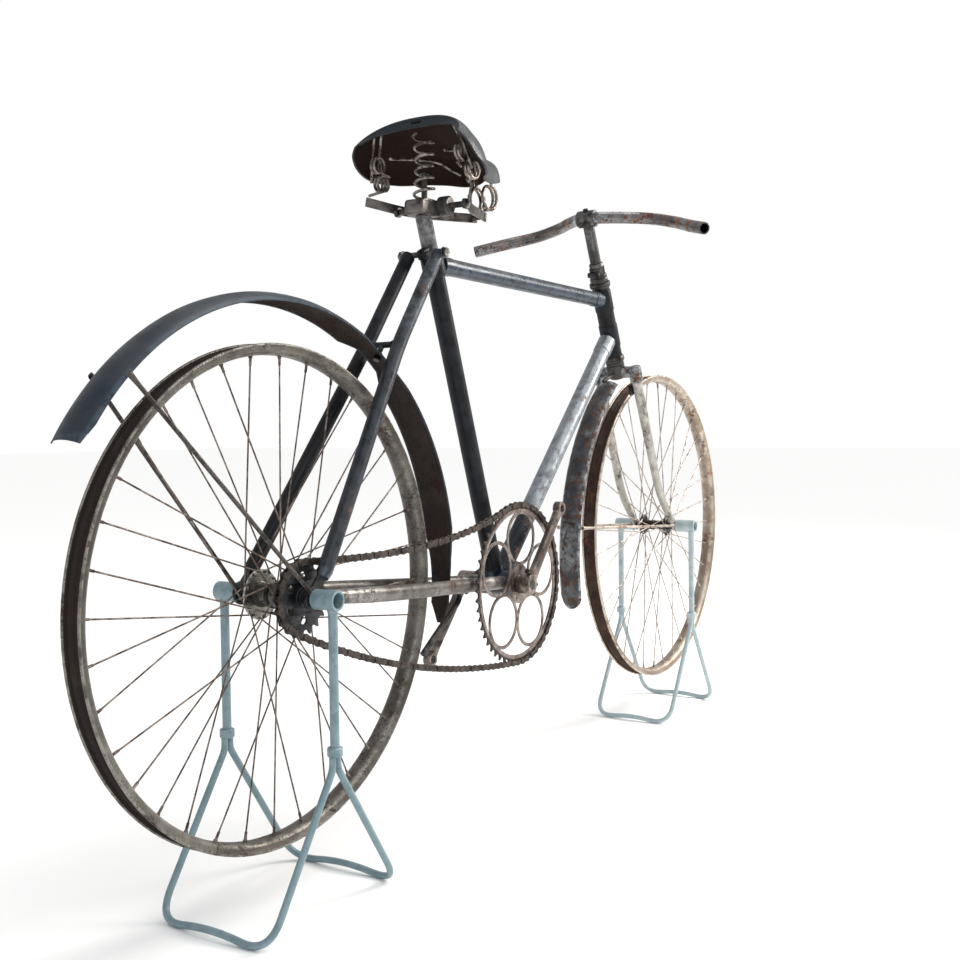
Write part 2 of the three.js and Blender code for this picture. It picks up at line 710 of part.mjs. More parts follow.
const seatTubeTop = onSeatTube(SEAT_TUBE_LENGTH);
const lugMiddle = SEAT_TUBE_LENGTH - SEAT_LUG_LENGTH / 2;
const BINDER_BELOW_TOP = 8;
const BINDER_RADIUS = 5;
const binder = onSeatTube(SEAT_TUBE_LENGTH - BINDER_BELOW_TOP).add(v(-SEAT_LUG_RADIUS - 3, 0, 0));
const binderHalf = SEAT_STAY_TOP_SPREAD - SEAT_STAY_RADIUS - SEAT_GAP;
piece(
  "seat_tube",
  cut(
    join(
      rod(bottomBracket, seatTubeTop, SEAT_TUBE_RADIUS),
      rod(onSeatTube(SEAT_TUBE_LENGTH - SEAT_LUG_LENGTH), seatTubeTop, SEAT_LUG_RADIUS),
      block(14, 17, 18, binder.clone().add(v(4, 0, 0))),
      crossRod(binder, -binderHalf, binderHalf, BINDER_RADIUS, ROD_SIDES),
    ),
    shellCut,
    rod(onSeatTube(SEAT_TUBE_LENGTH - POST_DEPTH - SEAT_GAP), onSeatTube(POST_TOP), POST_RADIUS + SEAT_GAP),
  ),
  "framePaint",
);

const headCut = rod(
  onSteering(HEAD_LOWER_END),
  onSteering(HEAD_UPPER_END),
  HEAD_TUBE_RADIUS + SEAT_GAP,
  18,
);
const alongHead = (radius, from, to) => rod(onSteering(from), onSteering(to), radius, 18);
piece(
  "head_tube",
  cut(
    join(
      alongHead(HEAD_TUBE_RADIUS, HEAD_LOWER_END, HEAD_UPPER_END),
      alongHead(HEAD_CUP_RADIUS, HEAD_LOWER_END, HEAD_LOWER_END + HEAD_CUP_HEIGHT),
      alongHead(HEAD_CUP_RADIUS, HEAD_UPPER_END - HEAD_CUP_HEIGHT, HEAD_UPPER_END),
    ),
    alongHead(HEAD_TUBE_BORE, HEAD_LOWER_END - 5, HEAD_UPPER_END + 5),
  ),
  "framePaint",
);

const seatCut = rod(bottomBracket, seatTubeTop, SEAT_TUBE_RADIUS + SEAT_GAP);
const lugCut = rod(
  onSeatTube(SEAT_TUBE_LENGTH - SEAT_LUG_LENGTH - SEAT_GAP),
  seatTubeTop,
  SEAT_LUG_RADIUS + SEAT_GAP,
);
piece(
  "top_tube",
  cut(
    rod(onSeatTube(lugMiddle - TOP_TUBE_BELOW_LUG + 12), onSteering(TOP_TUBE_ON_HEAD), TOP_TUBE_RADIUS),
    lugCut,
    seatCut,
    headCut,
  ),
  "framePaint",
);
piece(
  "down_tube",
  cut(rod(bottomBracket, onSteering(DOWN_TUBE_ON_HEAD), DOWN_TUBE_RADIUS), shellCut, seatCut, headCut),
  "framePaint",
);

// Rear triangle

const dropoutHole = AXLE_RADIUS + SEAT_GAP;
const stayDirection = v(SEAT_STAY_KINK.x, 0, SEAT_STAY_KINK.z).normalize();
const DROPOUT_ARM = 44;
const DROPOUT_TUBE_START = 30;
const DROPOUT_NECK = 7;
function dropout(side) {
  const shape = new THREE.Shape();
  const aim = Math.atan2(stayDirection.z, stayDirection.x);
  const lobe = (angle, across) => [
    DROPOUT_ARM * Math.cos(angle) - across * Math.sin(angle),
    DROPOUT_ARM * Math.sin(angle) + across * Math.cos(angle),
  ];
  shape.absarc(0, 0, DROPOUT_RADIUS, aim + 0.7, 2 * Math.PI - 0.7, false);
  shape.lineTo(...lobe(-0.06, -DROPOUT_NECK));
  shape.lineTo(...lobe(-0.06, DROPOUT_NECK));
  shape.lineTo(DROPOUT_RADIUS, DROPOUT_RADIUS * 0.8);
  shape.lineTo(...lobe(aim, -DROPOUT_NECK + 1));
  shape.lineTo(...lobe(aim, DROPOUT_NECK - 1));
  shape.closePath();
  shape.holes.push(roundHole(0, 0, dropoutHole));
  return sidePlate(shape, DROPOUT_THICKNESS, side * DROPOUT_SPREAD);
}

const staySlot = (side) => {
  const reach = DROPOUT_ARM + 3 * SEAT_GAP;
  const width = DROPOUT_THICKNESS + 2 * SEAT_GAP;
  return block(2 * reach, width, 2 * reach, v(0, side * DROPOUT_SPREAD, 0));
};

SIDES.forEach(([name, side]) => {
  piece(`rear_dropout_${name}`, dropout(side), "greasySteel");
  const chainStayRoute = rounded(
    [
      v(DROPOUT_TUBE_START, side * DROPOUT_SPREAD, -2),
      v(BOTTOM_BRACKET_X * 0.33, side * (DROPOUT_SPREAD - 6), -16),
      v(RING_EDGE_X, side * CHAIN_STAY_WAIST, -BOTTOM_BRACKET_DROP * 0.76),
      v(BOTTOM_BRACKET_X, side * CHAIN_STAY_AT_SHELL, -BOTTOM_BRACKET_DROP),
    ],
    60,
    3,
  );
  piece(
    `chain_stay_${name}`,
    cut(
      taperedTube(
        chainStayRoute,
        chainStayRoute.map(() => [CHAIN_STAY_HALF_WIDE, CHAIN_STAY_RADIUS]),
        TUBE_SIDES,
      ),
      shellCut,
      staySlot(side),
    ),
    "framePaint",
  );
  const lower = stayDirection.clone().multiplyScalar(DROPOUT_TUBE_START);
  const seatStayRoute = rounded(
    [
      v(lower.x, side * (DROPOUT_SPREAD + SEAT_STAY_FOOT_OUT), lower.z),
      v(SEAT_STAY_KINK.x, side * SEAT_STAY_KINK.spread, SEAT_STAY_KINK.z),
      v(binder.x, side * SEAT_STAY_TOP_SPREAD, binder.z),
    ],
    30,
    3,
  );
  piece(
    `seat_stay_${name}`,
    cut(
      taperedTube(
        seatStayRoute,
        seatStayRoute.map(() => [SEAT_STAY_RADIUS, SEAT_STAY_RADIUS]),
        TUBE_SIDES,
      ),
      staySlot(side),
      rod(onSeatTube(0), seatTubeTop, SEAT_LUG_RADIUS + SEAT_GAP),
    ),
    "framePaint",
  );
});

const kink = v(SEAT_STAY_KINK.x, 0, SEAT_STAY_KINK.z);
const bridgeHalf = SEAT_STAY_KINK.spread - SEAT_STAY_RADIUS - SEAT_GAP;
const towardsAxle = kink.clone().normalize().negate();
const bridgeBolt = kink.length() - REAR_GUARD_RIDGE - SEAT_GAP;
piece(
  "seat_stay_bridge",
  join(
    crossRod(kink, -bridgeHalf, bridgeHalf, 5, ROD_SIDES),
    rod(kink, kink.clone().addScaledVector(towardsAxle, bridgeBolt), 4, ROD_SIDES),
  ),
  "framePaint",
);

// The chain stays' bridge bolts to the mudguard, and its plate carries the bent stub of a prop stand
const BRIDGE_FROM_GUARD = 16;
const bridgeZ = -BOTTOM_BRACKET_DROP * 0.78;
const chainBridge = v(REAR_GUARD_RIDGE + BRIDGE_FROM_GUARD, 0, bridgeZ);
const chainBridgeHalf = CHAIN_STAY_WAIST - CHAIN_STAY_HALF_WIDE - SEAT_GAP;
const towardsGuard = chainBridge.clone().normalize().negate();
const guardBolt = chainBridge.length() - REAR_GUARD_RIDGE - SEAT_GAP;
const BRIDGE_PLATE = [34, 22, 5];
const PROP_STUB_RADIUS = 5;
const PROP_STUB = [
  [27, 0],
  [27, -26],
  [-24, -60],
  [-77, -96],
].map(([x, z]) => chainBridge.clone().add(v(x, 0, z)));
piece(
  "chain_stay_bridge",
  join(
    crossRod(chainBridge, -chainBridgeHalf, chainBridgeHalf, 6, ROD_SIDES),
    rod(chainBridge, chainBridge.clone().addScaledVector(towardsGuard, guardBolt), 4, ROD_SIDES),
    block(...BRIDGE_PLATE, chainBridge.clone().add(v(BRIDGE_PLATE[0] / 2, 0, 0))),
    bentRod(rounded(PROP_STUB, 2 * PROP_STUB_RADIUS, 2), PROP_STUB_RADIUS, ROD_SIDES),
  ),
  "framePaint",
);

// Seat post and saddle. The saddle's places are measured from the top of the post.
const postTop = onSeatTube(POST_TOP);
const fromPost = (x, y, z) => v(postTop.x + x, y, postTop.z + z);
piece("seat_post", rod(onSeatTube(SEAT_TUBE_LENGTH - POST_DEPTH), postTop, POST_RADIUS), "nickel");

// Saddle top, from back to nose: edge place, how far the middle stands ahead of the edges,
// half width, height of the ridge and height of the lower edge
const SADDLE_ROWS = [
  [-38, 30, 94, 121, 84],
  [-30, 26, 105, 122, 70],
  [-10, 22, 109, 119, 52],
  [20, 12, 105, 112, 42],
  [60, 4, 84, 104, 40],
  [95, 0, 58, 98, 44],
  [130, 0, 38, 96, 47],
  [170, 0, 28, 95, 50],
  [200, 0, 22, 92, 58],
  [212, 0, 10, 84, 72],
];
const SADDLE_ACROSS = 8;
const SADDLE_ROUNDNESS = 1.15; // 1 follows a circle from edge to ridge, and less is boxier
function saddlePlace([place, bow, half, ridge, edge], angle, skin) {
  const [s, c] = [Math.sin(angle), Math.max(Math.cos(angle), 0)];
  const across = Math.sign(s) * Math.abs(s) ** 0.8;
  return fromPost(place + bow * c, (half - skin) * across, lerp(edge, ridge - skin, c ** SADDLE_ROUNDNESS));
}
function saddleRing(row) {
  const arc = (skin) =>
    Array.from({ length: SADDLE_ACROSS + 1 }, (_, i) =>
      saddlePlace(row, lerp(-Math.PI / 2, Math.PI / 2, i / SADDLE_ACROSS), skin),
    );
  return [...arc(0), ...arc(SADDLE_SKIN).reverse()];
}
piece("saddle_top", loft(SADDLE_ROWS.map(saddleRing)), "saddleHide");

// Underframe: two flat bars from the rear springs to the nose, a cross bolt and the post clamp
const BAR_HEIGHT = 15;
const BAR_THICKNESS = 3.5;
const flatSection = new THREE.Shape([
  new THREE.Vector2(-BAR_HEIGHT / 2, -BAR_THICKNESS / 2),
  new THREE.Vector2(BAR_HEIGHT / 2, -BAR_THICKNESS / 2),
  new THREE.Vector2(BAR_HEIGHT / 2, BAR_THICKNESS / 2),
  new THREE.Vector2(-BAR_HEIGHT / 2, BAR_THICKNESS / 2),
]);
const SPRING_SPREAD = 84;
const UNDERFRAME_NOSE = 174;
const UNDER_BAR_REAR_Z = 6;
const UNDER_BAR_NOSE_Z = -2;
const underBar = (side) => {
  const points = rounded(
    [
      fromPost(-8, side * (SPRING_SPREAD + 12), UNDER_BAR_REAR_Z),
      fromPost(52, side * 52, -8),
      fromPost(UNDERFRAME_NOSE, side * 9, UNDER_BAR_NOSE_Z),
    ],
    40,
    4,
  );
  return new THREE.ExtrudeGeometry(flatSection, {
    steps: points.length - 1,
    bevelEnabled: false,
    extrudePath: new Route(points),
  });
};
const CROSS_BOLT_HALF = 68;
const CROSS_BOLT_RADIUS = 5;
const CLAMP_SIZE = [52, 34, 26];
const CLAMP_NUT_RADIUS = 15;
const CLAMP_NUT_OUTER = 36;
const NOSE_BOLT_HALF = 14;
const NOSE_BOLT_BEHIND = 8; // the end of the bars
const CLAMP_REACH = 60; // down the post
const crossBolt = fromPost(30, 0, -8);
const clampCentre = fromPost(8, 0, -12);
const noseBolt = fromPost(UNDERFRAME_NOSE - NOSE_BOLT_BEHIND, 0, UNDER_BAR_NOSE_Z);
piece(
  "saddle_frame",
  cut(
    join(
      underBar(-1),
      underBar(1),
      crossRod(crossBolt, -CROSS_BOLT_HALF, CROSS_BOLT_HALF, CROSS_BOLT_RADIUS, ROD_SIDES),
      block(...CLAMP_SIZE, clampCentre),
      crossRod(crossBolt, -CLAMP_NUT_OUTER, -CLAMP_SIZE[1] / 2, CLAMP_NUT_RADIUS),
      crossRod(noseBolt, -NOSE_BOLT_HALF, NOSE_BOLT_HALF, CROSS_BOLT_RADIUS, ROD_SIDES),
    ),
    rod(onSeatTube(POST_TOP - CLAMP_REACH), onSeatTube(POST_TOP + SEAT_GAP), POST_RADIUS + SEAT_GAP),
  ),
  "bareSteel",
);

// Coil springs with their axis across the bicycle: a foot, the turns and an arm to the saddle
const COIL_STEPS = 8;
function coil(centre, side, radius, turns, pitch, wire, foot, head) {
  const count = Math.round(turns * COIL_STEPS);
  const points = [foot];
  for (let i = 0; i <= count; i++) {
    const angle = -Math.PI / 2 + (i * 2 * Math.PI) / COIL_STEPS;
    points.push(
      v(
        centre.x + radius * Math.cos(angle),
        centre.y + side * pitch * (i / COIL_STEPS - turns / 2),
        centre.z + radius * Math.sin(angle),
      ),
    );
  }
  points.push(head);
  return bentRod(points, wire, 5);
}

const SPRING_WIRE = 2.3;
const REAR_COIL_RADIUS = 12;
const REAR_COIL_HEIGHT = 36;
const NOSE_COIL_RADIUS = 19;
const NOSE_COIL_HEIGHT = 30;
const NOSE_WIRE = 2.7;
const underSaddle = SADDLE_SKIN + SPRING_WIRE;
SIDES.forEach(([name, side]) => {
  const footZ = UNDER_BAR_REAR_Z + BAR_HEIGHT / 2 + SEAT_GAP + SPRING_WIRE;
  piece(
    `saddle_spring_${name}`,
    coil(
      fromPost(14, side * SPRING_SPREAD, REAR_COIL_HEIGHT),
      side,
      REAR_COIL_RADIUS,
      2.75,
      6,
      SPRING_WIRE,
      fromPost(-6, side * (SPRING_SPREAD + 8), footZ - 1.3),
      saddlePlace(SADDLE_ROWS[1], side * 0.8, underSaddle),
    ),
    "bareSteel",
  );
});

const noseCentre = fromPost(UNDERFRAME_NOSE + 6, 0, NOSE_COIL_HEIGHT);
const NOSE_FOOT_RADIUS = 3;
const noseFoot = fromPost(
  UNDERFRAME_NOSE - 14,
  0,
  UNDER_BAR_NOSE_Z + BAR_HEIGHT / 2 + SEAT_GAP + NOSE_FOOT_RADIUS,
);
piece(
  "saddle_nose_spring",
  join(
    ...[-1, 1].map((side) =>
      coil(
        noseCentre.clone().add(v(0, side * 12, 0)),
        side,
        NOSE_COIL_RADIUS,
        1.5,
        7,
        NOSE_WIRE,
        noseFoot.clone().setY(side * 8),
        saddlePlace(SADDLE_ROWS[7], side * 0.7, SADDLE_SKIN + NOSE_WIRE),
      ),
    ),
    crossRod(noseFoot, -12, 12, NOSE_FOOT_RADIUS, ROD_SIDES),
  ),
  "bareSteel",
);

// Mudguards: a thin crowned strip, given by rows of angle, ridge radius, half width and crown
const GUARD_STEP = 8;
const GUARD_ACROSS = 4;
function mudguard(centre, rows) {
  const rings = [];
  const ring = ([angle, ridge, half, crown]) => {
    const turn = radians(angle);
    const arc = (skin) =>
      Array.from({ length: GUARD_ACROSS + 1 }, (_, i) => {
        const across = lerp(-1, 1, i / GUARD_ACROSS);
        const radius = ridge - skin - crown * Math.abs(across) ** 2.2;
        return v(
          centre.x + radius * Math.cos(turn),
          (half - skin * 0.6) * across,
          centre.z + radius * Math.sin(turn),
        );
      });
    return [...arc(0), ...arc(GUARD_SKIN).reverse()];
  };
  rows.forEach((row, k) => {
    if (!k) return rings.push(ring(row));
    const last = rows[k - 1];
    const steps = Math.max(1, Math.ceil(Math.abs(row[0] - last[0]) / GUARD_STEP));
    for (let i = 1; i <= steps; i++)
      rings.push(ring(row.map((value, c) => lerp(last[c], value, i / steps))));
  });
  return loft(rings);
}

const KINK_ANGLE = THREE.MathUtils.radToDeg(Math.atan2(SEAT_STAY_KINK.z, SEAT_STAY_KINK.x));
const REAR_GUARD_HALF = 28;
const seatCrimp = SEAT_STAY_KINK.spread - SEAT_STAY_RADIUS - MESH_GAP;
const chainCrimp = CHAIN_STAY_WAIST - CHAIN_STAY_HALF_WIDE - MESH_GAP;
const BRIDGE_ANGLE = THREE.MathUtils.radToDeg(Math.atan2(chainBridge.z, chainBridge.x));
piece(
  "rear_mudguard",
  mudguard(rearAxle, [
    [148, REAR_GUARD_RIDGE, REAR_GUARD_HALF - 4, 8],
    [144, REAR_GUARD_RIDGE, REAR_GUARD_HALF, GUARD_CROWN],
    [KINK_ANGLE + 9, REAR_GUARD_RIDGE, REAR_GUARD_HALF, GUARD_CROWN],
    [KINK_ANGLE + 4, REAR_GUARD_RIDGE, seatCrimp, 5],
    [KINK_ANGLE, REAR_GUARD_RIDGE, seatCrimp, 5],
    [KINK_ANGLE - 4, REAR_GUARD_RIDGE, seatCrimp, 5],
    [KINK_ANGLE - 9, REAR_GUARD_RIDGE, REAR_GUARD_HALF - 1, GUARD_CROWN],
    [9, REAR_GUARD_RIDGE, REAR_GUARD_HALF - 1, 10],
    [1.5, REAR_GUARD_RIDGE, chainCrimp + 3, 8],
    [BRIDGE_ANGLE, REAR_GUARD_RIDGE, chainCrimp, 7],
    [-9, REAR_GUARD_RIDGE, chainCrimp, 7],
    [-13.5, REAR_GUARD_RIDGE, 6, 2],
  ]),
  "guardPaint",
);

const FRONT_GUARD_HALF = 22;
const FRONT_GUARD_START = 128;
piece(
  "front_mudguard",
  mudguard(frontAxle, [
    [FRONT_GUARD_START, FRONT_GUARD_TOP, FRONT_GUARD_HALF, 9],
    [146, lerp(FRONT_GUARD_TOP, FRONT_GUARD_TIP, 0.2), FRONT_GUARD_HALF, 9],
    [172, lerp(FRONT_GUARD_TOP, FRONT_GUARD_TIP, 0.58), FRONT_GUARD_HALF, 9],
    [191, lerp(FRONT_GUARD_TOP, FRONT_GUARD_TIP, 0.96), FRONT_GUARD_HALF, 9],
    [195, FRONT_GUARD_TIP, FRONT_GUARD_HALF - 5, 7],
    [198, FRONT_GUARD_TIP, 8, 2],
  ]),
  "guardPaint",
);

// A mudguard stay: a flat eye on the axle and a round rod to the guard's edge
function guardStay(centre, eyeY, side, target) {
  const u = v(target.x - centre.x, 0, target.z - centre.z).normalize();
  const angle = Math.atan2(u.z, u.x);
  const shape = new THREE.Shape();
  const EYE_RADIUS = 8.5;
  const EYE_ARM = 26;
  shape.absarc(0, 0, EYE_RADIUS, 0.5, 2 * Math.PI - 0.5, false);
  shape.lineTo(EYE_ARM, -3.6);
  shape.lineTo(EYE_ARM, 3.6);
  shape.closePath();
  shape.holes.push(roundHole(0, 0, AXLE_RADIUS + SEAT_GAP));
  const eye = sidePlate(shape, GUARD_EYE_THICKNESS, 0)
    .rotateY(-angle)
    .translate(centre.x, side * eyeY, centre.z);
  const start = v(centre.x + u.x * 21, side * eyeY, centre.z + u.z * 21);
  return join(eye, rod(start, target, GUARD_STAY_RADIUS, ROD_SIDES));
}
const eyeMiddle = (spread, thickness) =>
  spread + thickness / 2 + SEAT_GAP + GUARD_EYE_THICKNESS / 2;
const REAR_STAY_ANGLE = 133.5;
const FRONT_STAY_ANGLE = 176.5;
SIDES.forEach(([name, side]) => {
  const edge = REAR_GUARD_RIDGE - GUARD_CROWN;
  const turn = radians(REAR_STAY_ANGLE);
  const beside = side * (REAR_GUARD_HALF + GUARD_STAY_RADIUS + SEAT_GAP);
  piece(
    `rear_mudguard_stay_${name}`,
    guardStay(
      rearAxle,
      eyeMiddle(DROPOUT_SPREAD, DROPOUT_THICKNESS),
      side,
      v(edge * Math.cos(turn), beside, edge * Math.sin(turn)),
    ),
    "greasySteel",
  );
  const frontEdge = lerp(FRONT_GUARD_TOP, FRONT_GUARD_TIP, 0.66) - 9;
  const frontTurn = radians(FRONT_STAY_ANGLE);
  const frontBeside = side * (FRONT_GUARD_HALF + GUARD_STAY_RADIUS + SEAT_GAP);
  piece(
    `front_mudguard_stay_${name}`,
    guardStay(
      frontAxle,
      eyeMiddle(FORK_END_SPREAD, FORK_END_THICKNESS),
      side,
      v(
        frontAxle.x + frontEdge * Math.cos(frontTurn),
        frontBeside,
        frontEdge * Math.sin(frontTurn),
      ),
    ),
    "rustySteel",
  );
});

// Stands: an open socket over each axle nut, a post below it and two bent rods as feet
const STAND_POST_INSET = 9;
const FERRULE_RADIUS = 10;
const FERRULE_HEIGHT = 12;
function stand(prefix, centre, socketInner, socketOuter) {
  const postY = socketOuter - STAND_POST_INSET;
  SIDES.forEach(([name, side]) => {
    const below = (z) => v(centre.x, side * postY, z);
    piece(
      `${prefix}_stand_${name}`,
      cut(
        join(
          crossRod(centre, side * socketInner, side * socketOuter, SOCKET_RADIUS, 18),
          rod(below(-SOCKET_RADIUS + 3), below(-STAND_SPLIT_DROP), STAND_POST_RADIUS, 10),
          rod(below(-STAND_SPLIT_DROP + FERRULE_HEIGHT), below(-STAND_SPLIT_DROP), FERRULE_RADIUS, 10),
        ),
        crossRod(centre, side * (socketInner - 2), side * (socketOuter + 2), SOCKET_BORE, 18),
      ),
      "standPaint",
    );
  });
  const top = -STAND_SPLIT_DROP - SEAT_GAP;
  const floor = -AXLE_HEIGHT + STAND_ROD_RADIUS - STAND_CORNER_CUT;
  const beside = STAND_ROD_RADIUS + SEAT_GAP;
  [
    ["back", -1],
    ["front", 1],
  ].forEach(([name, way]) => {
    const at = (reach, y, z) => v(centre.x + way * reach, y, z);
    const half = (side) => [
      at(beside, side * postY, top),
      at(beside, side * postY, top - 16),
      at(STAND_REACH, side * postY, floor),
    ];
    const corners = [
      ...half(1),
      at(STAND_REACH, 0, floor + STAND_BASE_SLOPE * postY),
      ...half(-1).reverse(),
    ];
    piece(
      `${prefix}_stand_rod_${name}`,
      bentRod(rounded(corners, STAND_CORNER, 3), STAND_ROD_RADIUS),
      "standPaint",
    );
  });
}
const nutStartFor = (spread, thickness) =>
  eyeMiddle(spread, thickness) + GUARD_EYE_THICKNESS / 2 + SEAT_GAP;
stand("rear", rearAxle, nutStartFor(DROPOUT_SPREAD, DROPOUT_THICKNESS), REAR_SOCKET_OUTER);
stand("front", frontAxle, nutStartFor(FORK_END_SPREAD, FORK_END_THICKNESS), FRONT_SOCKET_OUTER);

// Fork: crown with its steerer, two blades with their end plates
const besideSteering = (distance, y) => onSteering(distance).setY(y);
const CROWN_SOCKET_LOWER = CROWN_LOWER - 10;
const crownMiddle = (CROWN_LOWER + CROWN_UPPER) / 2;
const GUARD_TAB_RADIUS = 3.5;
const guardTabReach = FRONT_GUARD_TOP + GUARD_TAB_RADIUS + 5.5;
const guardTabTurn = radians(FRONT_GUARD_START + 2);
const guardTop = v(Math.cos(guardTabTurn), 0, Math.sin(guardTabTurn))
  .multiplyScalar(guardTabReach)
  .add(frontAxle);
piece(
  "fork_crown",
  join(
    crossRod(onSteering(crownMiddle), -BLADE_SPREAD, BLADE_SPREAD, 11, 12),
    ...SIDES.map(([, side]) =>
      rod(
        besideSteering(CROWN_SOCKET_LOWER, side * BLADE_SPREAD),
        besideSteering(CROWN_UPPER, side * BLADE_SPREAD),
        BLADE_TOP_RADIUS + 2.5,
      ),
    ),
    alongHead(HEAD_TUBE_RADIUS + 1, CROWN_LOWER, HEAD_LOWER_END - SEAT_GAP),
    alongHead(STEERER_RADIUS, CROWN_LOWER, STEERER_TOP),
    rod(onSteering(crownMiddle), guardTop, GUARD_TAB_RADIUS, ROD_SIDES),
  ),
  "framePaint",
);

SIDES.forEach(([name, side]) => {
  const route = rounded(
    [
      besideSteering(CROWN_SOCKET_LOWER - SEAT_GAP, side * BLADE_SPREAD),
      besideSteering(BLADE_BEND, side * lerp(BLADE_SPREAD, FORK_END_SPREAD, 0.7)),
      frontAxle.clone().add(v(-6, side * FORK_END_SPREAD, 4)),
    ],
    70,
    4,
  );
  const taper = (k) => k / (route.length - 1);
  const tube = taperedTube(
    route,
    route.map((_, k) => [
      lerp(BLADE_TOP_RADIUS - 1, BLADE_TIP_RADIUS, taper(k)),
      lerp(BLADE_TOP_RADIUS + 2, BLADE_TIP_RADIUS + 1, taper(k)),
    ]),
    12,
  );
  const end = disc(new THREE.Shape(), frontAxle.x, 0, FORK_END_RADIUS);
  const plate = sidePlate(end, FORK_END_THICKNESS, side * FORK_END_SPREAD);
  const axleHole = crossRod(frontAxle, -100, 100, AXLE_RADIUS + SEAT_GAP);
  const inside = side * (FORK_END_SPREAD - FORK_END_THICKNESS / 2);
  const outside = side * (FORK_END_SPREAD + FORK_END_THICKNESS / 2);
  const clearance = (y) => crossRod(frontAxle, y, y + Math.sign(y - side * FORK_END_SPREAD) * 30, FORK_END_CLEARANCE);
  piece(
    `fork_blade_${name}`,
    cut(join(tube, plate), axleHole, clearance(inside), clearance(outside)),
    "framePaint",
  );
});

piece(
  "headset_locknut",
  cut(
    join(
      rod(onSteering(HEAD_UPPER_END + SEAT_GAP), onSteering(HEAD_UPPER_END + 11), 18, 8),
      alongHead(15.6, HEAD_UPPER_END + 10, STEERER_TOP),
      crossRod(onSteering(HEAD_UPPER_END + 20).addScaledVector(steerForward, -17), -12, 12, 5, ROD_SIDES),
    ),
    alongHead(STEERER_RADIUS + SEAT_GAP, HEAD_UPPER_END - 5, STEERER_TOP + 5),
  ),
  "greasySteel",
);

// Handlebar: half of its route as [to the side, forwards, up] from the clamp's centre
const BAR_ROUTE = [
  [0, 0, 0],
  [20, 0, 0],
  [60, 38, 2],
  [100, 73, 1],
  [150, 71, -11],
  [200, 16, -30],
  [243, -18, -44],
];
const BAR_STEPS = 26;
const BAR_BORE_DEPTH = 40;
const barCentre = onSteering(BAR_ON_AXIS);
const barPlace = (side) => ([across, ahead, up]) =>
  barCentre.clone().add(v(ahead, side * across, up));
const barRoute = new THREE.CatmullRomCurve3([
  ...BAR_ROUTE.slice(1).reverse().map(barPlace(-1)),
  ...BAR_ROUTE.map(barPlace(1)),
]).getSpacedPoints(BAR_STEPS);
const barEnd = (end, inner) => {
  const inwards = inner.clone().sub(end).setLength(BAR_BORE_DEPTH);
  return rod(end.clone().addScaledVector(inwards, -0.1), end.clone().add(inwards), BAR_BORE);
};
piece(
  "handlebar",
  cut(
    bentRod(barRoute, BAR_RADIUS, 10),
    barEnd(barRoute[0], barRoute[1]),
    barEnd(barRoute[BAR_STEPS], barRoute[BAR_STEPS - 1]),
  ),
  "nickel",
);

const CLAMP_HALF = 18;
piece(
  "handlebar_stem",
  cut(
    join(
      rod(onSteering(STEERER_TOP + SEAT_GAP), barCentre, STEM_RADIUS),
      rod(onSteering(STEERER_TOP + SEAT_GAP), onSteering(STEERER_TOP + 8), STEM_RADIUS + 3),
      crossRod(barCentre, -CLAMP_HALF, CLAMP_HALF, BAR_RADIUS + 5),
    ),
    bentRod(barRoute, BAR_RADIUS + SEAT_GAP, 10),
  ),
  "bareSteel",
);

// The bicycle stands on z = 0 with the middle of its length at x = 0.
const box = new THREE.Box3().setFromObject(bicycle);
bicycle.position.set(-(box.min.x + box.max.x) / 2, 0, -box.min.z);

export default bicycle;
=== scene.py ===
# %% [markdown]
# # A rusty bicycle without tyres, on two display stands
#
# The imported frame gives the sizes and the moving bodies. This script dresses them: every piece of
# the bicycle is made again as a fine mesh, in metres, in the frame's own coordinates, and gets a
# weathered finish. We start with the tools, the frame and the camera, because the camera decides
# how fine each piece has to be.

# %% Load the frame
import json
import math

import bmesh
import bpy
from mathutils import Matrix, Vector


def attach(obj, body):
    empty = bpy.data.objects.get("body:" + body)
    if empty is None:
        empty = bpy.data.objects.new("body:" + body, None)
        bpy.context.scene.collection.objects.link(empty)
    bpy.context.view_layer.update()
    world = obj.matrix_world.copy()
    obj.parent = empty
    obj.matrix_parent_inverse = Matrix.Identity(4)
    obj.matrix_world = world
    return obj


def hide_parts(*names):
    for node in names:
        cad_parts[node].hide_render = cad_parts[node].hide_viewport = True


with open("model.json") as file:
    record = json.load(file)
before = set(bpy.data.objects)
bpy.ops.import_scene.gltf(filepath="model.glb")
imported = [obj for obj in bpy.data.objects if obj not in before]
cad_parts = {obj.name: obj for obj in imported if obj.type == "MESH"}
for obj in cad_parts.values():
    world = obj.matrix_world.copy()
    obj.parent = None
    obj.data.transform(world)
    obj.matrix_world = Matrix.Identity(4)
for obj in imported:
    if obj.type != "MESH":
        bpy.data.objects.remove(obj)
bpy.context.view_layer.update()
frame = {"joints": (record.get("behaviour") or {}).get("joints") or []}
scene = bpy.context.scene
JOINTS = {joint["name"]: joint for joint in frame["joints"]}

# %% [markdown]
# ## Places that everything hangs on
#
# A bicycle is drawn from its axles: the two wheel axles, the crank axle and the steering axis. The
# joints already hold them, so we read them there instead of typing them twice. Lengths along the
# bicycle are then given from the rear axle: x forwards, y to the left, z up.

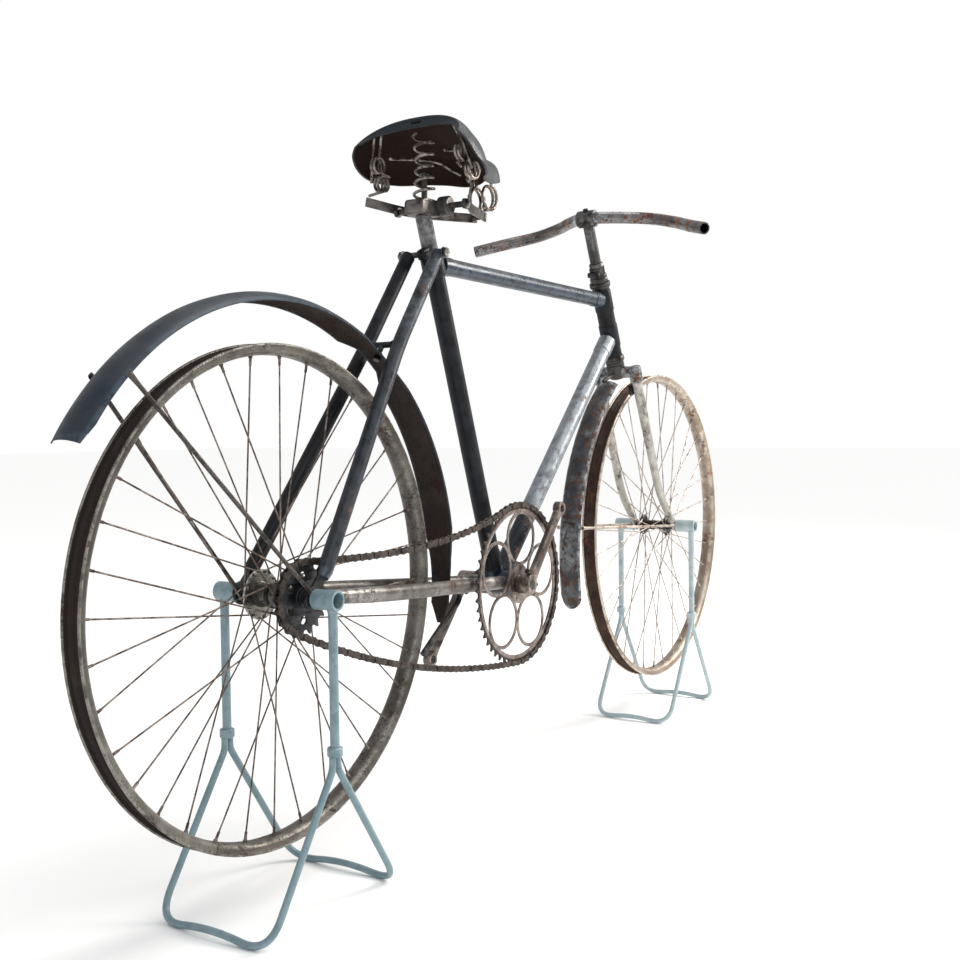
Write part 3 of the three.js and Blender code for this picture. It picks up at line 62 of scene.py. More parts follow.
# %% Axles and axes
REAR_AXLE = Vector(JOINTS["rear_wheel_spin"]["pos_m"])
FRONT_AXLE = Vector(JOINTS["front_wheel_spin"]["pos_m"])
CRANK_CENTRE = Vector(JOINTS["crank_spin"]["pos_m"])
STEER = Vector(JOINTS["steering"]["axis"]).normalized()
STEER_POINT = Vector(JOINTS["steering"]["pos_m"])
STEER_FORWARD = Vector((STEER.z, 0, -STEER.x))
FORWARD, LEFT, UP = Vector((1, 0, 0)), Vector((0, 1, 0)), Vector((0, 0, 1))
SEAT_ANGLE = math.radians(70.7)
SEAT = Vector((-math.cos(SEAT_ANGLE), 0, math.sin(SEAT_ANGLE)))
SIDES = (("right", -1), ("left", 1))


def place(x, y, z):
    """A point given from the rear axle."""
    return REAR_AXLE + Vector((x, y, z))


def on_seat_tube(distance):
    return CRANK_CENTRE + SEAT * distance


STEER_FOOT = STEER_POINT + STEER * (FRONT_AXLE - STEER_POINT).dot(STEER)


def on_steering(distance, y=0.0):
    """A point on the steering axis, from the place nearest the front axle."""
    return STEER_FOOT + STEER * distance + LEFT * y


print("wheelbase", round(FRONT_AXLE.x - REAR_AXLE.x, 4), "m")

# %% [markdown]
# ## The camera
#
# The photograph was taken from behind on the right, about level with the hub, and quite close, so
# the rear wheel looks much larger than the front one. A camera in Blender looks along its own -Z,
# so we build its three directions by hand and put them in the columns of its matrix.

# %% Camera
CAMERA_FROM_AXLE = (-1.1296, -1.0143, 0.2115)
CAMERA_TURN = math.radians(31.94)
CAMERA_PITCH = math.radians(-2.5)
CAMERA_ROLL = math.radians(-0.6)
CAMERA_LENS = 43.8

ahead = Vector((math.cos(CAMERA_TURN) * math.cos(CAMERA_PITCH),
                math.sin(CAMERA_TURN) * math.cos(CAMERA_PITCH), math.sin(CAMERA_PITCH)))
level_right = Vector((math.sin(CAMERA_TURN), -math.cos(CAMERA_TURN), 0))
level_up = level_right.cross(ahead)
right = level_right * math.cos(CAMERA_ROLL) + level_up * math.sin(CAMERA_ROLL)
up = right.cross(ahead)
camera = bpy.data.objects.new("camera", bpy.data.cameras.new("camera"))
camera.data.lens = CAMERA_LENS
camera.data.sensor_width = 36
camera.data.clip_end = 100
turn = Matrix((right, up, -ahead)).transposed().to_4x4()
camera.matrix_world = Matrix.Translation(place(*CAMERA_FROM_AXLE)) @ turn
scene.collection.objects.link(camera)
scene.camera = camera
print("camera at", [round(c, 3) for c in camera.matrix_world.translation])

# %% [markdown]
# ## Gathering shapes
#
# Most of a bicycle is tubes, turned rings and flat plates. We could add a Blender object for each,
# but a hub alone has dozens of bits. It is simpler to gather corners and faces in one place and
# make a single mesh from them. Each face remembers the number of its finish, so one piece can have
# several materials.

# %% The gathering class
class Form:
    """Corners and faces of many simple shapes, gathered for one mesh."""

    def __init__(self):
        self.corners, self.faces, self.finishes = [], [], []

    def add(self, corners, faces, finish=0):
        first = len(self.corners)
        self.corners.extend(corners)
        self.faces.extend([first + i for i in face] for face in faces)
        self.finishes.extend([finish] * len(faces))

    def grid(self, rings, finish=0, closed=False):
        """A skin over rings of corners; closed joins the last ring to the first."""
        count = len(rings[0])
        faces = []
        last = len(rings) if closed else len(rings) - 1
        for r in range(last):
            a, b = r * count, ((r + 1) % len(rings)) * count
            for i in range(count):
                j = (i + 1) % count
                faces.append([a + i, a + j, b + j, b + i])
        if not closed:
            end = (len(rings) - 1) * count
            faces.append(list(range(count))[::-1])
            faces.append([end + i for i in range(count)])
        self.add([corner for ring in rings for corner in ring], faces, finish)


# %% [markdown]
# A tube is a circle carried along a line. If each circle were turned afresh, the tube would twist,
# so the side direction of one circle is carried over to the next and only straightened a little.

# %% Tubes and rods
NEARLY_PARALLEL = 0.98
STEEP = 0.9
ROUNDED_RIM = 0.0006
CURVE_SAMPLES = 16


def rounds(*radii):
    """Equal width and height for each station of a sweep."""
    return [(r, r) for r in radii]


def unit_circle(sides, start=0.0):
    turns = [start + 2 * math.pi * i / sides for i in range(sides)]
    return [(math.cos(t), math.sin(t)) for t in turns]


def sweep(form, points, radius, sides=24, finish=0, side=LEFT, section=None):
    """A tube along points. radius is one number, or a (wide, high) pair for each point."""
    points = [Vector(p) for p in points]
    outline = section or unit_circle(sides)
    rings = []
    for k, point in enumerate(points):
        along = (points[min(k + 1, len(points) - 1)] - points[max(k - 1, 0)]).normalized()
        if abs(side.dot(along)) > NEARLY_PARALLEL:
            side = UP if abs(along.z) < STEEP else FORWARD
        side = (side - along * side.dot(along)).normalized()
        upward = side.cross(along)
        wide, high = radius[k] if isinstance(radius, list) else (radius, radius)
        rings.append([point + side * (wide * a) + upward * (high * b) for a, b in outline])
    form.grid(rings, finish)


def rod(form, start, end, radius, sides=24, finish=0, end_radius=None, rim=ROUNDED_RIM):
    """A straight rod whose edges are rounded a little, so that they catch the light."""
    start, end = Vector(start), Vector(end)
    along = (end - start).normalized()
    last = radius if end_radius is None else end_radius
    rim = min(rim, (end - start).length / 3, radius / 2, last / 2)
    points = [start, start + along * rim, end - along * rim, end]
    sweep(form, points, rounds(radius - rim, radius, last, last - rim), sides, finish)


def bent(corners, reach, steps=8):
    """Corner points joined by straight stretches and rounded bends."""
    corners = [Vector(c) for c in corners]
    line = [corners[0]]
    for before, corner, after in zip(corners, corners[1:], corners[2:]):
        give = min(reach, (before - corner).length / 2.01, (after - corner).length / 2.01)
        start = corner + (before - corner).normalized() * give
        end = corner + (after - corner).normalized() * give
        for i in range(steps + 1):
            t = i / steps
            line.append(start * (1 - t) ** 2 + corner * (2 * t * (1 - t)) + end * t**2)
    return line + [corners[-1]]


def smooth_line(points, steps):
    """A Catmull-Rom curve through points, with even spacing."""
    points = [Vector(p) for p in points]
    padded = [2 * points[0] - points[1]] + points + [2 * points[-1] - points[-2]]
    dense = []
    for a, b, c, d in zip(padded, padded[1:], padded[2:], padded[3:]):
        for i in range(CURVE_SAMPLES):
            t = i / CURVE_SAMPLES
            square, cube = 2 * a - 5 * b + 4 * c - d, 3 * b - a - 3 * c + d
            dense.append(0.5 * (2 * b + (c - a) * t + square * t**2 + cube * t**3))
    dense.append(points[-1])
    return evenly(dense, steps)


def evenly(line, steps):
    """The same line with points at even distances."""
    lengths = [0.0]
    for a, b in zip(line, line[1:]):
        lengths.append(lengths[-1] + (b - a).length)
    spaced, k = [], 0
    for i in range(steps + 1):
        goal = lengths[-1] * i / steps
        while k < len(line) - 2 and lengths[k + 1] < goal:
            k += 1
        share = (goal - lengths[k]) / max(lengths[k + 1] - lengths[k], 1e-9)
        spaced.append(line[k].lerp(line[k + 1], share))
    return spaced


# %% [markdown]
# Rims, hubs, cups and nuts are turned: a profile of radius and distance along the axis goes round
# once. Flat plates are drawn in side view. A 2D curve in Blender fills its outline, leaves the
# holes open and bevels every edge, so we let it make the plate and then take its mesh.

# %% Turned shapes and plates
ON_AXIS = 1e-5
CHAMFERED_CORNER = 0.9
CHAMFER_FROM, CHAMFER_TO = 0.16, 0.84


def turned(form, profile, centre, along=LEFT, steps=64, finish=0, closed=True):
    """A profile of (radius, distance) pairs turned about an axis; closed joins its ends."""
    along = Vector(along).normalized()
    first = FORWARD if abs(along.x) < STEEP else UP
    first = (first - along * first.dot(along)).normalized()
    second = along.cross(first)
    centre = Vector(centre)
    rings = []
    for a, b in unit_circle(steps):
        outwards = first * a + second * b
        rings.append([centre + outwards * r + along * d for r, d in profile])
    if closed:
        form.grid(rings, finish, closed=True)
        return
    count = len(profile)
    faces = []
    for r in range(steps):
        a, b = r * count, ((r + 1) % steps) * count
        faces += [[a + i, a + i + 1, b + i + 1, b + i] for i in range(count - 1)]
    form.add([corner for ring in rings for corner in ring], faces, finish)


def square_ring(inner, outer, start, end):
    """The profile of a plain ring, from start to end along its axis."""
    return [(inner, start), (outer, start), (outer, end), (inner, end)]


def hexagon_nut(form, centre, along, across, height, bore=ON_AXIS, finish=0):
    """A nut whose corners are chamfered."""
    along = Vector(along).normalized()
    corner = across / math.sqrt(3)
    end = corner * CHAMFERED_CORNER
    profile = [(end, 0), (corner, height * CHAMFER_FROM), (corner, height * CHAMFER_TO),
               (end, height)]
    turned(form, profile + [(bore, height), (bore, 0)], centre, along, 6, finish)


def circle_outline(radius, x=0.0, z=0.0, steps=48):
    return [(x + radius * a, z + radius * b) for a, b in unit_circle(steps)]


def plate(form, outlines, thickness, centre, bevel=0.0004, finish=0):
    """Outlines in side view, the first solid and the others holes, given a thickness."""
    curve = bpy.data.curves.new("plate_outline", "CURVE")
    curve.dimensions = "2D"
    curve.fill_mode = "BOTH"
    curve.extrude = thickness / 2 - bevel
    curve.bevel_depth = bevel
    curve.bevel_resolution = 1
    curve.offset = -bevel
    for outline in outlines:
        spline = curve.splines.new("POLY")
        spline.points.add(len(outline) - 1)
        for point, (x, z) in zip(spline.points, outline):
            point.co = (x, z, 0, 1)
        spline.use_cyclic_u = True
    holder = bpy.data.objects.new("plate_outline", curve)
    mesh = holder.to_mesh()
    corners = [centre + Vector((v.co.x, v.co.z, v.co.y)) for v in mesh.vertices]
    form.add(corners, [list(p.vertices) for p in mesh.polygons], finish)
    holder.to_mesh_clear()
    bpy.data.objects.remove(holder)
    bpy.data.curves.remove(curve)


# %% [markdown]
# A finished form becomes one object. Doubled corners are merged, normals are turned outwards, and
# edges sharper than a set angle stay crisp while the rest is shaded smooth. Each piece rides on a
# body of the frame and hides the plain node that it replaces.

# %% From form to piece
SHARP_ANGLE = math.radians(38)
MERGE_DISTANCE = 1e-6
triangle_count = {}


def make_piece(name, form, finishes, body, slot, *replaced):
    """One object from a form; finishes are names in the table of finishes below."""
    mesh = bpy.data.meshes.new(name)
    mesh.from_pydata(form.corners, [], form.faces)
    mesh.polygons.foreach_set("material_index", form.finishes)
    shape = bmesh.new()
    shape.from_mesh(mesh)
    bmesh.ops.remove_doubles(shape, verts=shape.verts, dist=MERGE_DISTANCE)
    bmesh.ops.dissolve_degenerate(shape, edges=shape.edges, dist=MERGE_DISTANCE)
    bmesh.ops.recalc_face_normals(shape, faces=shape.faces)
    shape.to_mesh(mesh)
    shape.free()
    mesh.shade_smooth()
    mesh.set_sharp_from_angle(angle=SHARP_ANGLE)
    for finish in finishes:
        mesh.materials.append(FINISH[finish])
    made = bpy.data.objects.new(name, mesh)
    scene.collection.objects.link(made)
    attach(made, body)
    if replaced:
        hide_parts(*replaced)
    triangle_count[name] = sum(len(p.vertices) - 2 for p in mesh.polygons)
    print(f"{name}: {triangle_count[name]} triangles")


def dress(node, form, finishes, body, slot):
    """A piece that stands for one node of the frame and is named after it."""
    make_piece(f"{node}_dressed", form, finishes, body, slot, node)


# %% [markdown]
# ## Weathered finishes
#
# Rust is not one colour. It starts as small orange specks in the paint, spreads into brown patches
# and ends dark and rough. Several finishes share that look, so we build it once as node groups: one
# for patches, one for the colours of rust, one for pitting, one for worn edges and one for dust.
# Every material then places the groups with its own numbers and keeps its own shader.

# %% Node helpers
def add_node(tree, kind, inputs=None, **settings):
    """A node with its settings made, and its inputs either linked or given a value."""
    node = tree.nodes.new(kind)
    for name, value in settings.items():
        setattr(node, name, value)
    for name, value in (inputs or {}).items():
        if isinstance(value, bpy.types.NodeSocket):
            tree.links.new(value, node.inputs[name])
        else:
            node.inputs[name].default_value = value
    return node


def effect_group(name, inputs, outputs):
    """An empty node group with named sockets, and its input and output nodes."""
    group = bpy.data.node_groups.new(name, "ShaderNodeTree")
    for label, value in inputs.items():
        socket = group.interface.new_socket(label, in_out="INPUT", socket_type="NodeSocketFloat")
        socket.default_value = value
    for label, kind in outputs.items():
        group.interface.new_socket(label, in_out="OUTPUT", socket_type=kind)
    given = group.nodes.new("NodeGroupInput").outputs
    result = group.nodes.new("NodeGroupOutput").inputs
    return group, given, result


def noise(tree, scale, detail=5.0, roughness=0.6):
    """Noise over the piece's own coordinates."""
    coordinates = add_node(tree, "ShaderNodeTexCoord").outputs["Object"]
    values = {"Vector": coordinates, "Scale": scale, "Detail": detail, "Roughness": roughness}
    return add_node(tree, "ShaderNodeTexNoise", values).outputs["Fac"]


def ramp(tree, value, low, high, to_low=0.0, to_high=1.0):
    """Maps low..high to to_low..to_high with a soft start and end."""
    values = {"Value": value, "From Min": low, "From Max": high, "To Min": to_low,
              "To Max": to_high}
    node = add_node(tree, "ShaderNodeMapRange", values, interpolation_type="SMOOTHSTEP")
    return node.outputs["Result"]


def sums(tree, operation, a, b, clamp=False):
    """One step of arithmetic; a and b are numbers or sockets."""
    node = add_node(tree, "ShaderNodeMath", {0: a, 1: b}, operation=operation, use_clamp=clamp)
    return node.outputs["Value"]


def times(tree, a, b):
    return sums(tree, "MULTIPLY", a, b)


def blend_colour(tree, factor, a, b):
    node = add_node(tree, "ShaderNodeMix", data_type="RGBA")
    for index, value in ((0, factor), (6, a), (7, b)):
        if isinstance(value, bpy.types.NodeSocket):
            tree.links.new(value, node.inputs[index])
        else:
            node.inputs[index].default_value = value
    return node.outputs[2]


# %% [markdown]
# A patch is where a coarse noise, made ragged by a finer one, rises over a threshold. Raising
# Amount lowers the threshold, so the patches grow and join as real rust does.

# %% Rust patches
COARSE_SHARE, FINE_SHARE = 0.68, 0.32
RAGGED_FINER, SPECKS_FINER = 9.0, 22.0
BARE_THRESHOLD, THRESHOLD_DROP = 0.74, 0.46


def patches_group():
    group, given, result = effect_group(
        "rust patches",
        {"Scale": 12.0, "Amount": 0.4, "Softness": 0.08},
        {"Mask": "NodeSocketFloat", "Specks": "NodeSocketFloat"},
    )
    coarse = noise(group, given["Scale"], 6.0, 0.65)
    fine = noise(group, times(group, given["Scale"], RAGGED_FINER), 4.0, 0.7)
    ragged = sums(group, "ADD", times(group, coarse, COARSE_SHARE), times(group, fine, FINE_SHARE))
    threshold = sums(group, "SUBTRACT", BARE_THRESHOLD,
                     times(group, given["Amount"], THRESHOLD_DROP))
    above = sums(group, "SUBTRACT", ragged, threshold)
    share = sums(group, "DIVIDE", above, given["Softness"])
    group.links.new(ramp(group, share, -0.5, 0.5), result["Mask"])
    specks = noise(group, times(group, given["Scale"], SPECKS_FINER), 2.0, 0.5)
    near = times(group, ramp(group, share, -2.6, 0.2), ramp(group, specks, 0.55, 0.62))
    group.links.new(near, result["Specks"])
    return group


# %% [markdown]
# Rust goes from nearly black through brown to orange. A colour ramp over two noises gives all of
# them, and Age shifts the whole ramp towards the dark end. A mix of two colours would look like
# paint.

# %% Rust colours
RUST_COLOURS = (
    (0.0, (0.022, 0.012, 0.01, 1)),
    (0.34, (0.07, 0.03, 0.018, 1)),
    (0.55, (0.165, 0.068, 0.032, 1)),
    (0.74, (0.3, 0.13, 0.055, 1)),
    (1.0, (0.46, 0.27, 0.16, 1)),
)


def rust_group():
    group, given, result = effect_group(
        "rust colours", {"Scale": 40.0, "Age": 0.5}, {"Color": "NodeSocketColor"}
    )
    grain = times(group, noise(group, given["Scale"], 8.0, 0.72), 0.6)
    cloud = times(group, noise(group, times(group, given["Scale"], 0.2), 3.0), 0.4)
    older = times(group, sums(group, "SUBTRACT", given["Age"], 0.5), 0.5)
    aged = sums(group, "SUBTRACT", sums(group, "ADD", grain, cloud), older)
    spread = ramp(group, aged, 0.28, 0.72)
    colours = group.nodes.new("ShaderNodeValToRGB")
    group.links.new(spread, colours.inputs["Fac"])
    stops = colours.color_ramp.elements
    while len(stops) < len(RUST_COLOURS):
        stops.new(0.5)
    for stop, (position, colour) in zip(stops, RUST_COLOURS):
        stop.position, stop.color = position, colour
    group.links.new(colours.outputs["Color"], result["Color"])
    return group


# %% [markdown]
# Rusted steel is pitted, its edges are rubbed bare, and dust lies on whatever looks up. Pitting is
# a height for the Bump node. Worn edges come from the mesh's own pointiness, which needs no
# painting by hand, and dust from the direction in which the surface faces.

# %% Pitting, worn edges and dust
def pits_group():
    group, given, result = effect_group(
        "pitting", {"Scale": 300.0, "Depth": 1.0, "Mask": 1.0}, {"Height": "NodeSocketFloat"}
    )
    grain = noise(group, given["Scale"], 4.0, 0.7)
    lumps = noise(group, times(group, given["Scale"], 0.22), 3.0, 0.6)
    height = sums(group, "ADD", times(group, grain, 0.6), lumps)
    shaped = times(group, times(group, height, given["Depth"]), given["Mask"])
    group.links.new(shaped, result["Height"])
    return group


def edge_group():
    group, given, result = effect_group(
        "worn edges", {"Scale": 60.0, "Reach": 0.04}, {"Mask": "NodeSocketFloat"}
    )
    pointed = add_node(group, "ShaderNodeNewGeometry").outputs["Pointiness"]
    high = sums(group, "ADD", 0.5, given["Reach"])
    edge = ramp(group, pointed, 0.505, high)
    worn = ramp(group, noise(group, given["Scale"], 4.0, 0.6), 0.36, 0.6)
    group.links.new(times(group, edge, worn), result["Mask"])
    return group


def dust_group():
    group, given, result = effect_group(
        "settled dust", {"Scale": 9.0, "Amount": 0.3}, {"Mask": "NodeSocketFloat"}
    )
    normal = add_node(group, "ShaderNodeNewGeometry").outputs["Normal"]
    upward = add_node(group, "ShaderNodeSeparateXYZ", {0: normal}).outputs["Z"]
    facing = ramp(group, upward, 0.1, 0.95)
    cloud = ramp(group, noise(group, given["Scale"], 7.0, 0.7), 0.35, 0.7)
    film = sums(group, "MULTIPLY", times(group, facing, cloud), given["Amount"], clamp=True)
    group.links.new(film, result["Mask"])
    return group


EFFECTS = {
    "patches": patches_group(),
    "rust": rust_group(),
    "pits": pits_group(),
    "edges": edge_group(),
    "dust": dust_group(),
}
print("effects:", ", ".join(EFFECTS))


# %% [markdown]
# Every finish of this machine is the same story told with other numbers: a ground that varies a
# little, a second colour where it is rubbed, rust that breaks through, and dust on top. In the
# finishes of the strongly lit front parts both colours are lighter: a painted highlight. A table
# with named columns holds the numbers, and one function builds a material from a row.

# %% The table of finishes
# ground, rubbed: colours of the sound surface and of its worn places, lighter in the lit front
# copies as painted highlight
# metal, rough: metalness and roughness of the sound surface
# rubbed_share: how much is worn through; bump: how deep the pitting is
# rust, rust_scale, age: how far rust has spread, how fine its patches are, and how dark it is
FINISH_COLUMNS = ("ground", "rubbed", "metal", "rough", "rubbed_share", "rust", "rust_scale", "age",
                  "bump")
FINISH_ROWS = {
    "frame_paint": ((0.006, 0.012, 0.020), (0.030, 0.050, 0.076),
        0.22, 0.32, 0.20, 0.20, 34, 0.65, 0.4),
    # The down tube's pale grey stands for strong light on it: painted highlight
    "down_tube_highlight_paint": ((0.012, 0.021, 0.032), (0.300, 0.335, 0.368),
        0.62, 0.30, 1.35, 0.26, 40, 0.60, 0.5),
    "dark_tube": ((0.004, 0.005, 0.007), (0.013, 0.015, 0.019),
        0.10, 0.42, 0.14, 0.16, 30, 0.95, 0.35),
    "stay_paint": ((0.009, 0.014, 0.021), (0.070, 0.086, 0.106),
        0.35, 0.34, 0.30, 0.26, 40, 0.80, 0.45),
    "worn_stay": ((0.075, 0.066, 0.060), (0.330, 0.315, 0.300),
        0.70, 0.34, 0.48, 0.34, 34, 0.75, 0.5),
    "guard_outside": ((0.008, 0.018, 0.031), (0.036, 0.060, 0.088),
        0.20, 0.42, 0.28, 0.20, 30, 0.75, 0.4),
    "guard_inside": ((0.024, 0.017, 0.014), (0.052, 0.037, 0.030),
        0.20, 0.66, 0.45, 0.40, 16, 1.00, 0.6),
    "front_guard_paint": ((0.012, 0.019, 0.028), (0.440, 0.460, 0.470),
        0.12, 0.44, 0.46, 0.46, 70, 0.66, 0.6),
    # The fork blades' pale cream is painted highlight for the strong light on the front
    "fork_highlight_paint": ((0.150, 0.142, 0.125), (0.500, 0.480, 0.435),
        0.50, 0.36, 0.95, 0.34, 46, 0.65, 0.5),
    "rear_rim_steel": ((0.075, 0.066, 0.056), (0.275, 0.260, 0.230),
        0.62, 0.42, 0.54, 0.36, 20, 0.85, 0.7),
    "rim_channel": ((0.028, 0.020, 0.016), (0.064, 0.047, 0.038),
        0.30, 0.76, 0.40, 0.56, 22, 1.00, 1.0),
    # The front wheel's rim, channel and spokes are lighter copies of the rear ones: painted
    # highlight
    "front_rim_highlight_steel": ((0.240, 0.180, 0.130), (0.620, 0.565, 0.490),
        0.60, 0.38, 0.62, 0.34, 22, 0.45, 0.6),
    "front_channel_highlight": ((0.060, 0.038, 0.026), (0.190, 0.135, 0.096),
        0.30, 0.68, 0.40, 0.54, 22, 0.70, 0.9),
    "spoke_wire": ((0.085, 0.055, 0.043), (0.240, 0.200, 0.172),
        0.75, 0.42, 0.40, 0.46, 70, 0.80, 0.4),
    "front_spoke_highlight_wire": ((0.230, 0.180, 0.145), (0.560, 0.510, 0.460),
        0.75, 0.38, 0.50, 0.38, 70, 0.55, 0.4),
    "stay_rod": ((0.026, 0.022, 0.020), (0.130, 0.116, 0.106),
        0.70, 0.40, 0.38, 0.40, 60, 0.90, 0.5),
    "chain_steel": ((0.017, 0.013, 0.011), (0.088, 0.068, 0.057),
        0.70, 0.46, 0.38, 0.40, 90, 0.90, 0.5),
    "ring_nickel": ((0.088, 0.066, 0.056), (0.300, 0.250, 0.220),
        0.86, 0.31, 0.42, 0.34, 46, 0.90, 0.4),
    "bar_nickel": ((0.105, 0.104, 0.106), (0.450, 0.460, 0.470),
        0.92, 0.26, 0.46, 0.44, 28, 0.55, 0.4),
    "post_steel": ((0.052, 0.052, 0.050), (0.200, 0.203, 0.206),
        0.80, 0.32, 0.42, 0.24, 40, 0.85, 0.4),
    "stem_steel": ((0.022, 0.021, 0.021), (0.135, 0.132, 0.130),
        0.78, 0.32, 0.36, 0.30, 40, 0.85, 0.4),
    "hub_chrome": ((0.120, 0.118, 0.104), (0.480, 0.480, 0.430),
        0.95, 0.24, 0.46, 0.30, 50, 0.95, 0.4),
    "greasy_steel": ((0.006, 0.007, 0.008), (0.040, 0.042, 0.046),
        0.50, 0.34, 0.30, 0.16, 50, 0.95, 0.5),
    "nut_black": ((0.009, 0.009, 0.010), (0.080, 0.076, 0.070),
        0.60, 0.38, 0.34, 0.22, 60, 0.85, 0.5),
    "saddle_steel": ((0.062, 0.047, 0.040), (0.380, 0.340, 0.305),
        0.86, 0.32, 0.42, 0.40, 46, 0.75, 0.4),
    "saddle_iron": ((0.026, 0.021, 0.018), (0.190, 0.172, 0.160),
        0.80, 0.36, 0.40, 0.36, 46, 0.85, 0.4),
    "stand_paint": ((0.150, 0.232, 0.262), (0.215, 0.305, 0.335),
        0.05, 0.32, 0.20, 0.06, 50, 0.60, 0.25),
    "pale_stand_paint": ((0.330, 0.420, 0.450), (0.450, 0.530, 0.550),
        0.05, 0.34, 0.20, 0.06, 50, 0.60, 0.25),
}


def colour(rgb):
    return (*rgb, 1.0)


def use(tree, name, **values):
    """Places a shared effect in a material, with this material's own values."""
    node = tree.nodes.new("ShaderNodeGroup")
    node.node_tree = EFFECTS[name]
    for label, value in values.items():
        socket = node.inputs[label.replace("_", " ").title()]
        if isinstance(value, bpy.types.NodeSocket):
            tree.links.new(value, socket)
        else:
            socket.default_value = value
    return node.outputs


DUST = (0.36, 0.31, 0.26)
RUST_ROUGHNESS = 0.86
BUMP_DISTANCE = 0.0006
# Where along the machine, in metres, a finish's painted highlight begins and where it is full
PAINTED_HIGHLIGHT_FROM = {"down_tube_highlight_paint": (0.03, 0.068)}
PAINT_SPECULAR = 0.45
# Finishes whose old grease or soot leaves them duller than paint
DULL = {"dark_tube": 0.22, "guard_inside": 0.25, "greasy_steel": 0.35}
SPECK_STRENGTH = 0.85
PITS_IN_SOUND = 0.25
BUMP_STRENGTH = 0.7


def weathered(name, dust=0.1):
    """A material from its row in the table."""
    row = dict(zip(FINISH_COLUMNS, FINISH_ROWS[name]))
    material = bpy.data.materials.new(name)
    material.use_nodes = True
    tree = material.node_tree
    shader = tree.nodes["Principled BSDF"]
    rubbed = ramp(tree, noise(tree, 7.0, 8.0, 0.75), 0.62 - row["rubbed_share"] * 0.4, 0.78)
    edges = use(tree, "edges")["Mask"]
    # For these finishes rubbed places and worn edges show only towards the front: painted highlight
    if name in PAINTED_HIGHLIGHT_FROM:
        place_on = add_node(tree, "ShaderNodeTexCoord").outputs["Object"]
        forwards = add_node(tree, "ShaderNodeSeparateXYZ", {0: place_on}).outputs["X"]
        painted_highlight = ramp(tree, forwards, *PAINTED_HIGHLIGHT_FROM[name])
        rubbed, edges = (times(tree, mask, painted_highlight) for mask in (rubbed, edges))
    ground = blend_colour(tree, rubbed, colour(row["ground"]), colour(row["rubbed"]))
    ground = blend_colour(tree, edges, ground, colour(row["rubbed"]))
    patches = use(tree, "patches", scale=float(row["rust_scale"]), amount=row["rust"])
    rusty = sums(tree, "MAXIMUM", patches["Mask"], times(tree, patches["Specks"], SPECK_STRENGTH))
    rust = use(tree, "rust", age=row["age"])["Color"]
    weathered_colour = blend_colour(tree, rusty, ground, rust)
    film = use(tree, "dust", amount=dust)["Mask"]
    tree.links.new(blend_colour(tree, film, weathered_colour, colour(DUST)),
                   shader.inputs["Base Color"])
    sound_rough = ramp(tree, noise(tree, 30.0, 4.0), 0.3, 0.7, row["rough"] - 0.08,
                       row["rough"] + 0.1)
    worn_rough = add_node(tree, "ShaderNodeMix",
                          {0: rusty, 2: sound_rough, 3: RUST_ROUGHNESS}).outputs[0]
    tree.links.new(worn_rough, shader.inputs["Roughness"])
    bare = sums(tree, "SUBTRACT", 1.0, sums(tree, "MAXIMUM", rusty, film))
    tree.links.new(times(tree, bare, row["metal"]), shader.inputs["Metallic"])
    shader.inputs["Specular IOR Level"].default_value = DULL.get(name, PAINT_SPECULAR)
    height = use(tree, "pits", mask=sums(tree, "ADD", PITS_IN_SOUND, rusty),
                 depth=row["bump"])["Height"]
    bump = add_node(tree, "ShaderNodeBump",
                    {"Height": height, "Distance": BUMP_DISTANCE, "Strength": BUMP_STRENGTH})
    tree.links.new(bump.outputs["Normal"], shader.inputs["Normal"])
    return material


FINISH = {name: weathered(name) for name in FINISH_ROWS}
print(len(FINISH), "weathered finishes")


# %% [markdown]
# The saddle's hide is not metal. It has dried and cracked: a net of fine dark cracks over a
# brown-black skin, smoother where it was sat on. A Voronoi texture's distance to the cell edges
# gives the cracks.

# %% Cracked hide
HIDE_SCUFFED = (0.052, 0.054, 0.058)
CRACK_SCALE = 240.0
CRACK_SHADE = 0.45


def hide_material(name, dark, brown, roughness, gloss):
    """Cracked hide: dark is the colour in the cracks, brown the colour it varies towards."""
    material = bpy.data.materials.new(name)
    material.use_nodes = True
    tree = material.node_tree
    shader = tree.nodes["Principled BSDF"]
    coordinates = add_node(tree, "ShaderNodeTexCoord").outputs["Object"]
    place_in = {"Vector": coordinates, "Scale": CRACK_SCALE}
    cells = add_node(tree, "ShaderNodeTexVoronoi", place_in, feature="DISTANCE_TO_EDGE")
    cracks = ramp(tree, cells.outputs["Distance"], 0.0, 0.08, CRACK_SHADE, 1.0)
    tone = blend_colour(tree, noise(tree, 14.0, 7.0, 0.7), colour(dark), colour(brown))
    scuffed = ramp(tree, noise(tree, 24.0, 8.0, 0.75), 0.62, 0.78)
    tone = blend_colour(tree, scuffed, tone, colour(HIDE_SCUFFED))
    tone = blend_colour(tree, cracks, colour(dark), tone)
    film = use(tree, "dust", amount=0.05)["Mask"]
    tree.links.new(blend_colour(tree, film, tone, colour(DUST)), shader.inputs["Base Color"])
    tree.links.new(ramp(tree, cracks, 0.0, 1.0, 0.95, roughness), shader.inputs["Roughness"])
    shader.inputs["Specular IOR Level"].default_value = gloss
    grain = use(tree, "pits", scale=900.0, depth=0.3)["Height"]
    height = sums(tree, "ADD", grain, times(tree, cracks, 0.6))
    bump = add_node(tree, "ShaderNodeBump", {"Height": height, "Distance": 0.0005, "Strength": 0.6})
    tree.links.new(bump.outputs["Normal"], shader.inputs["Normal"])
    return material


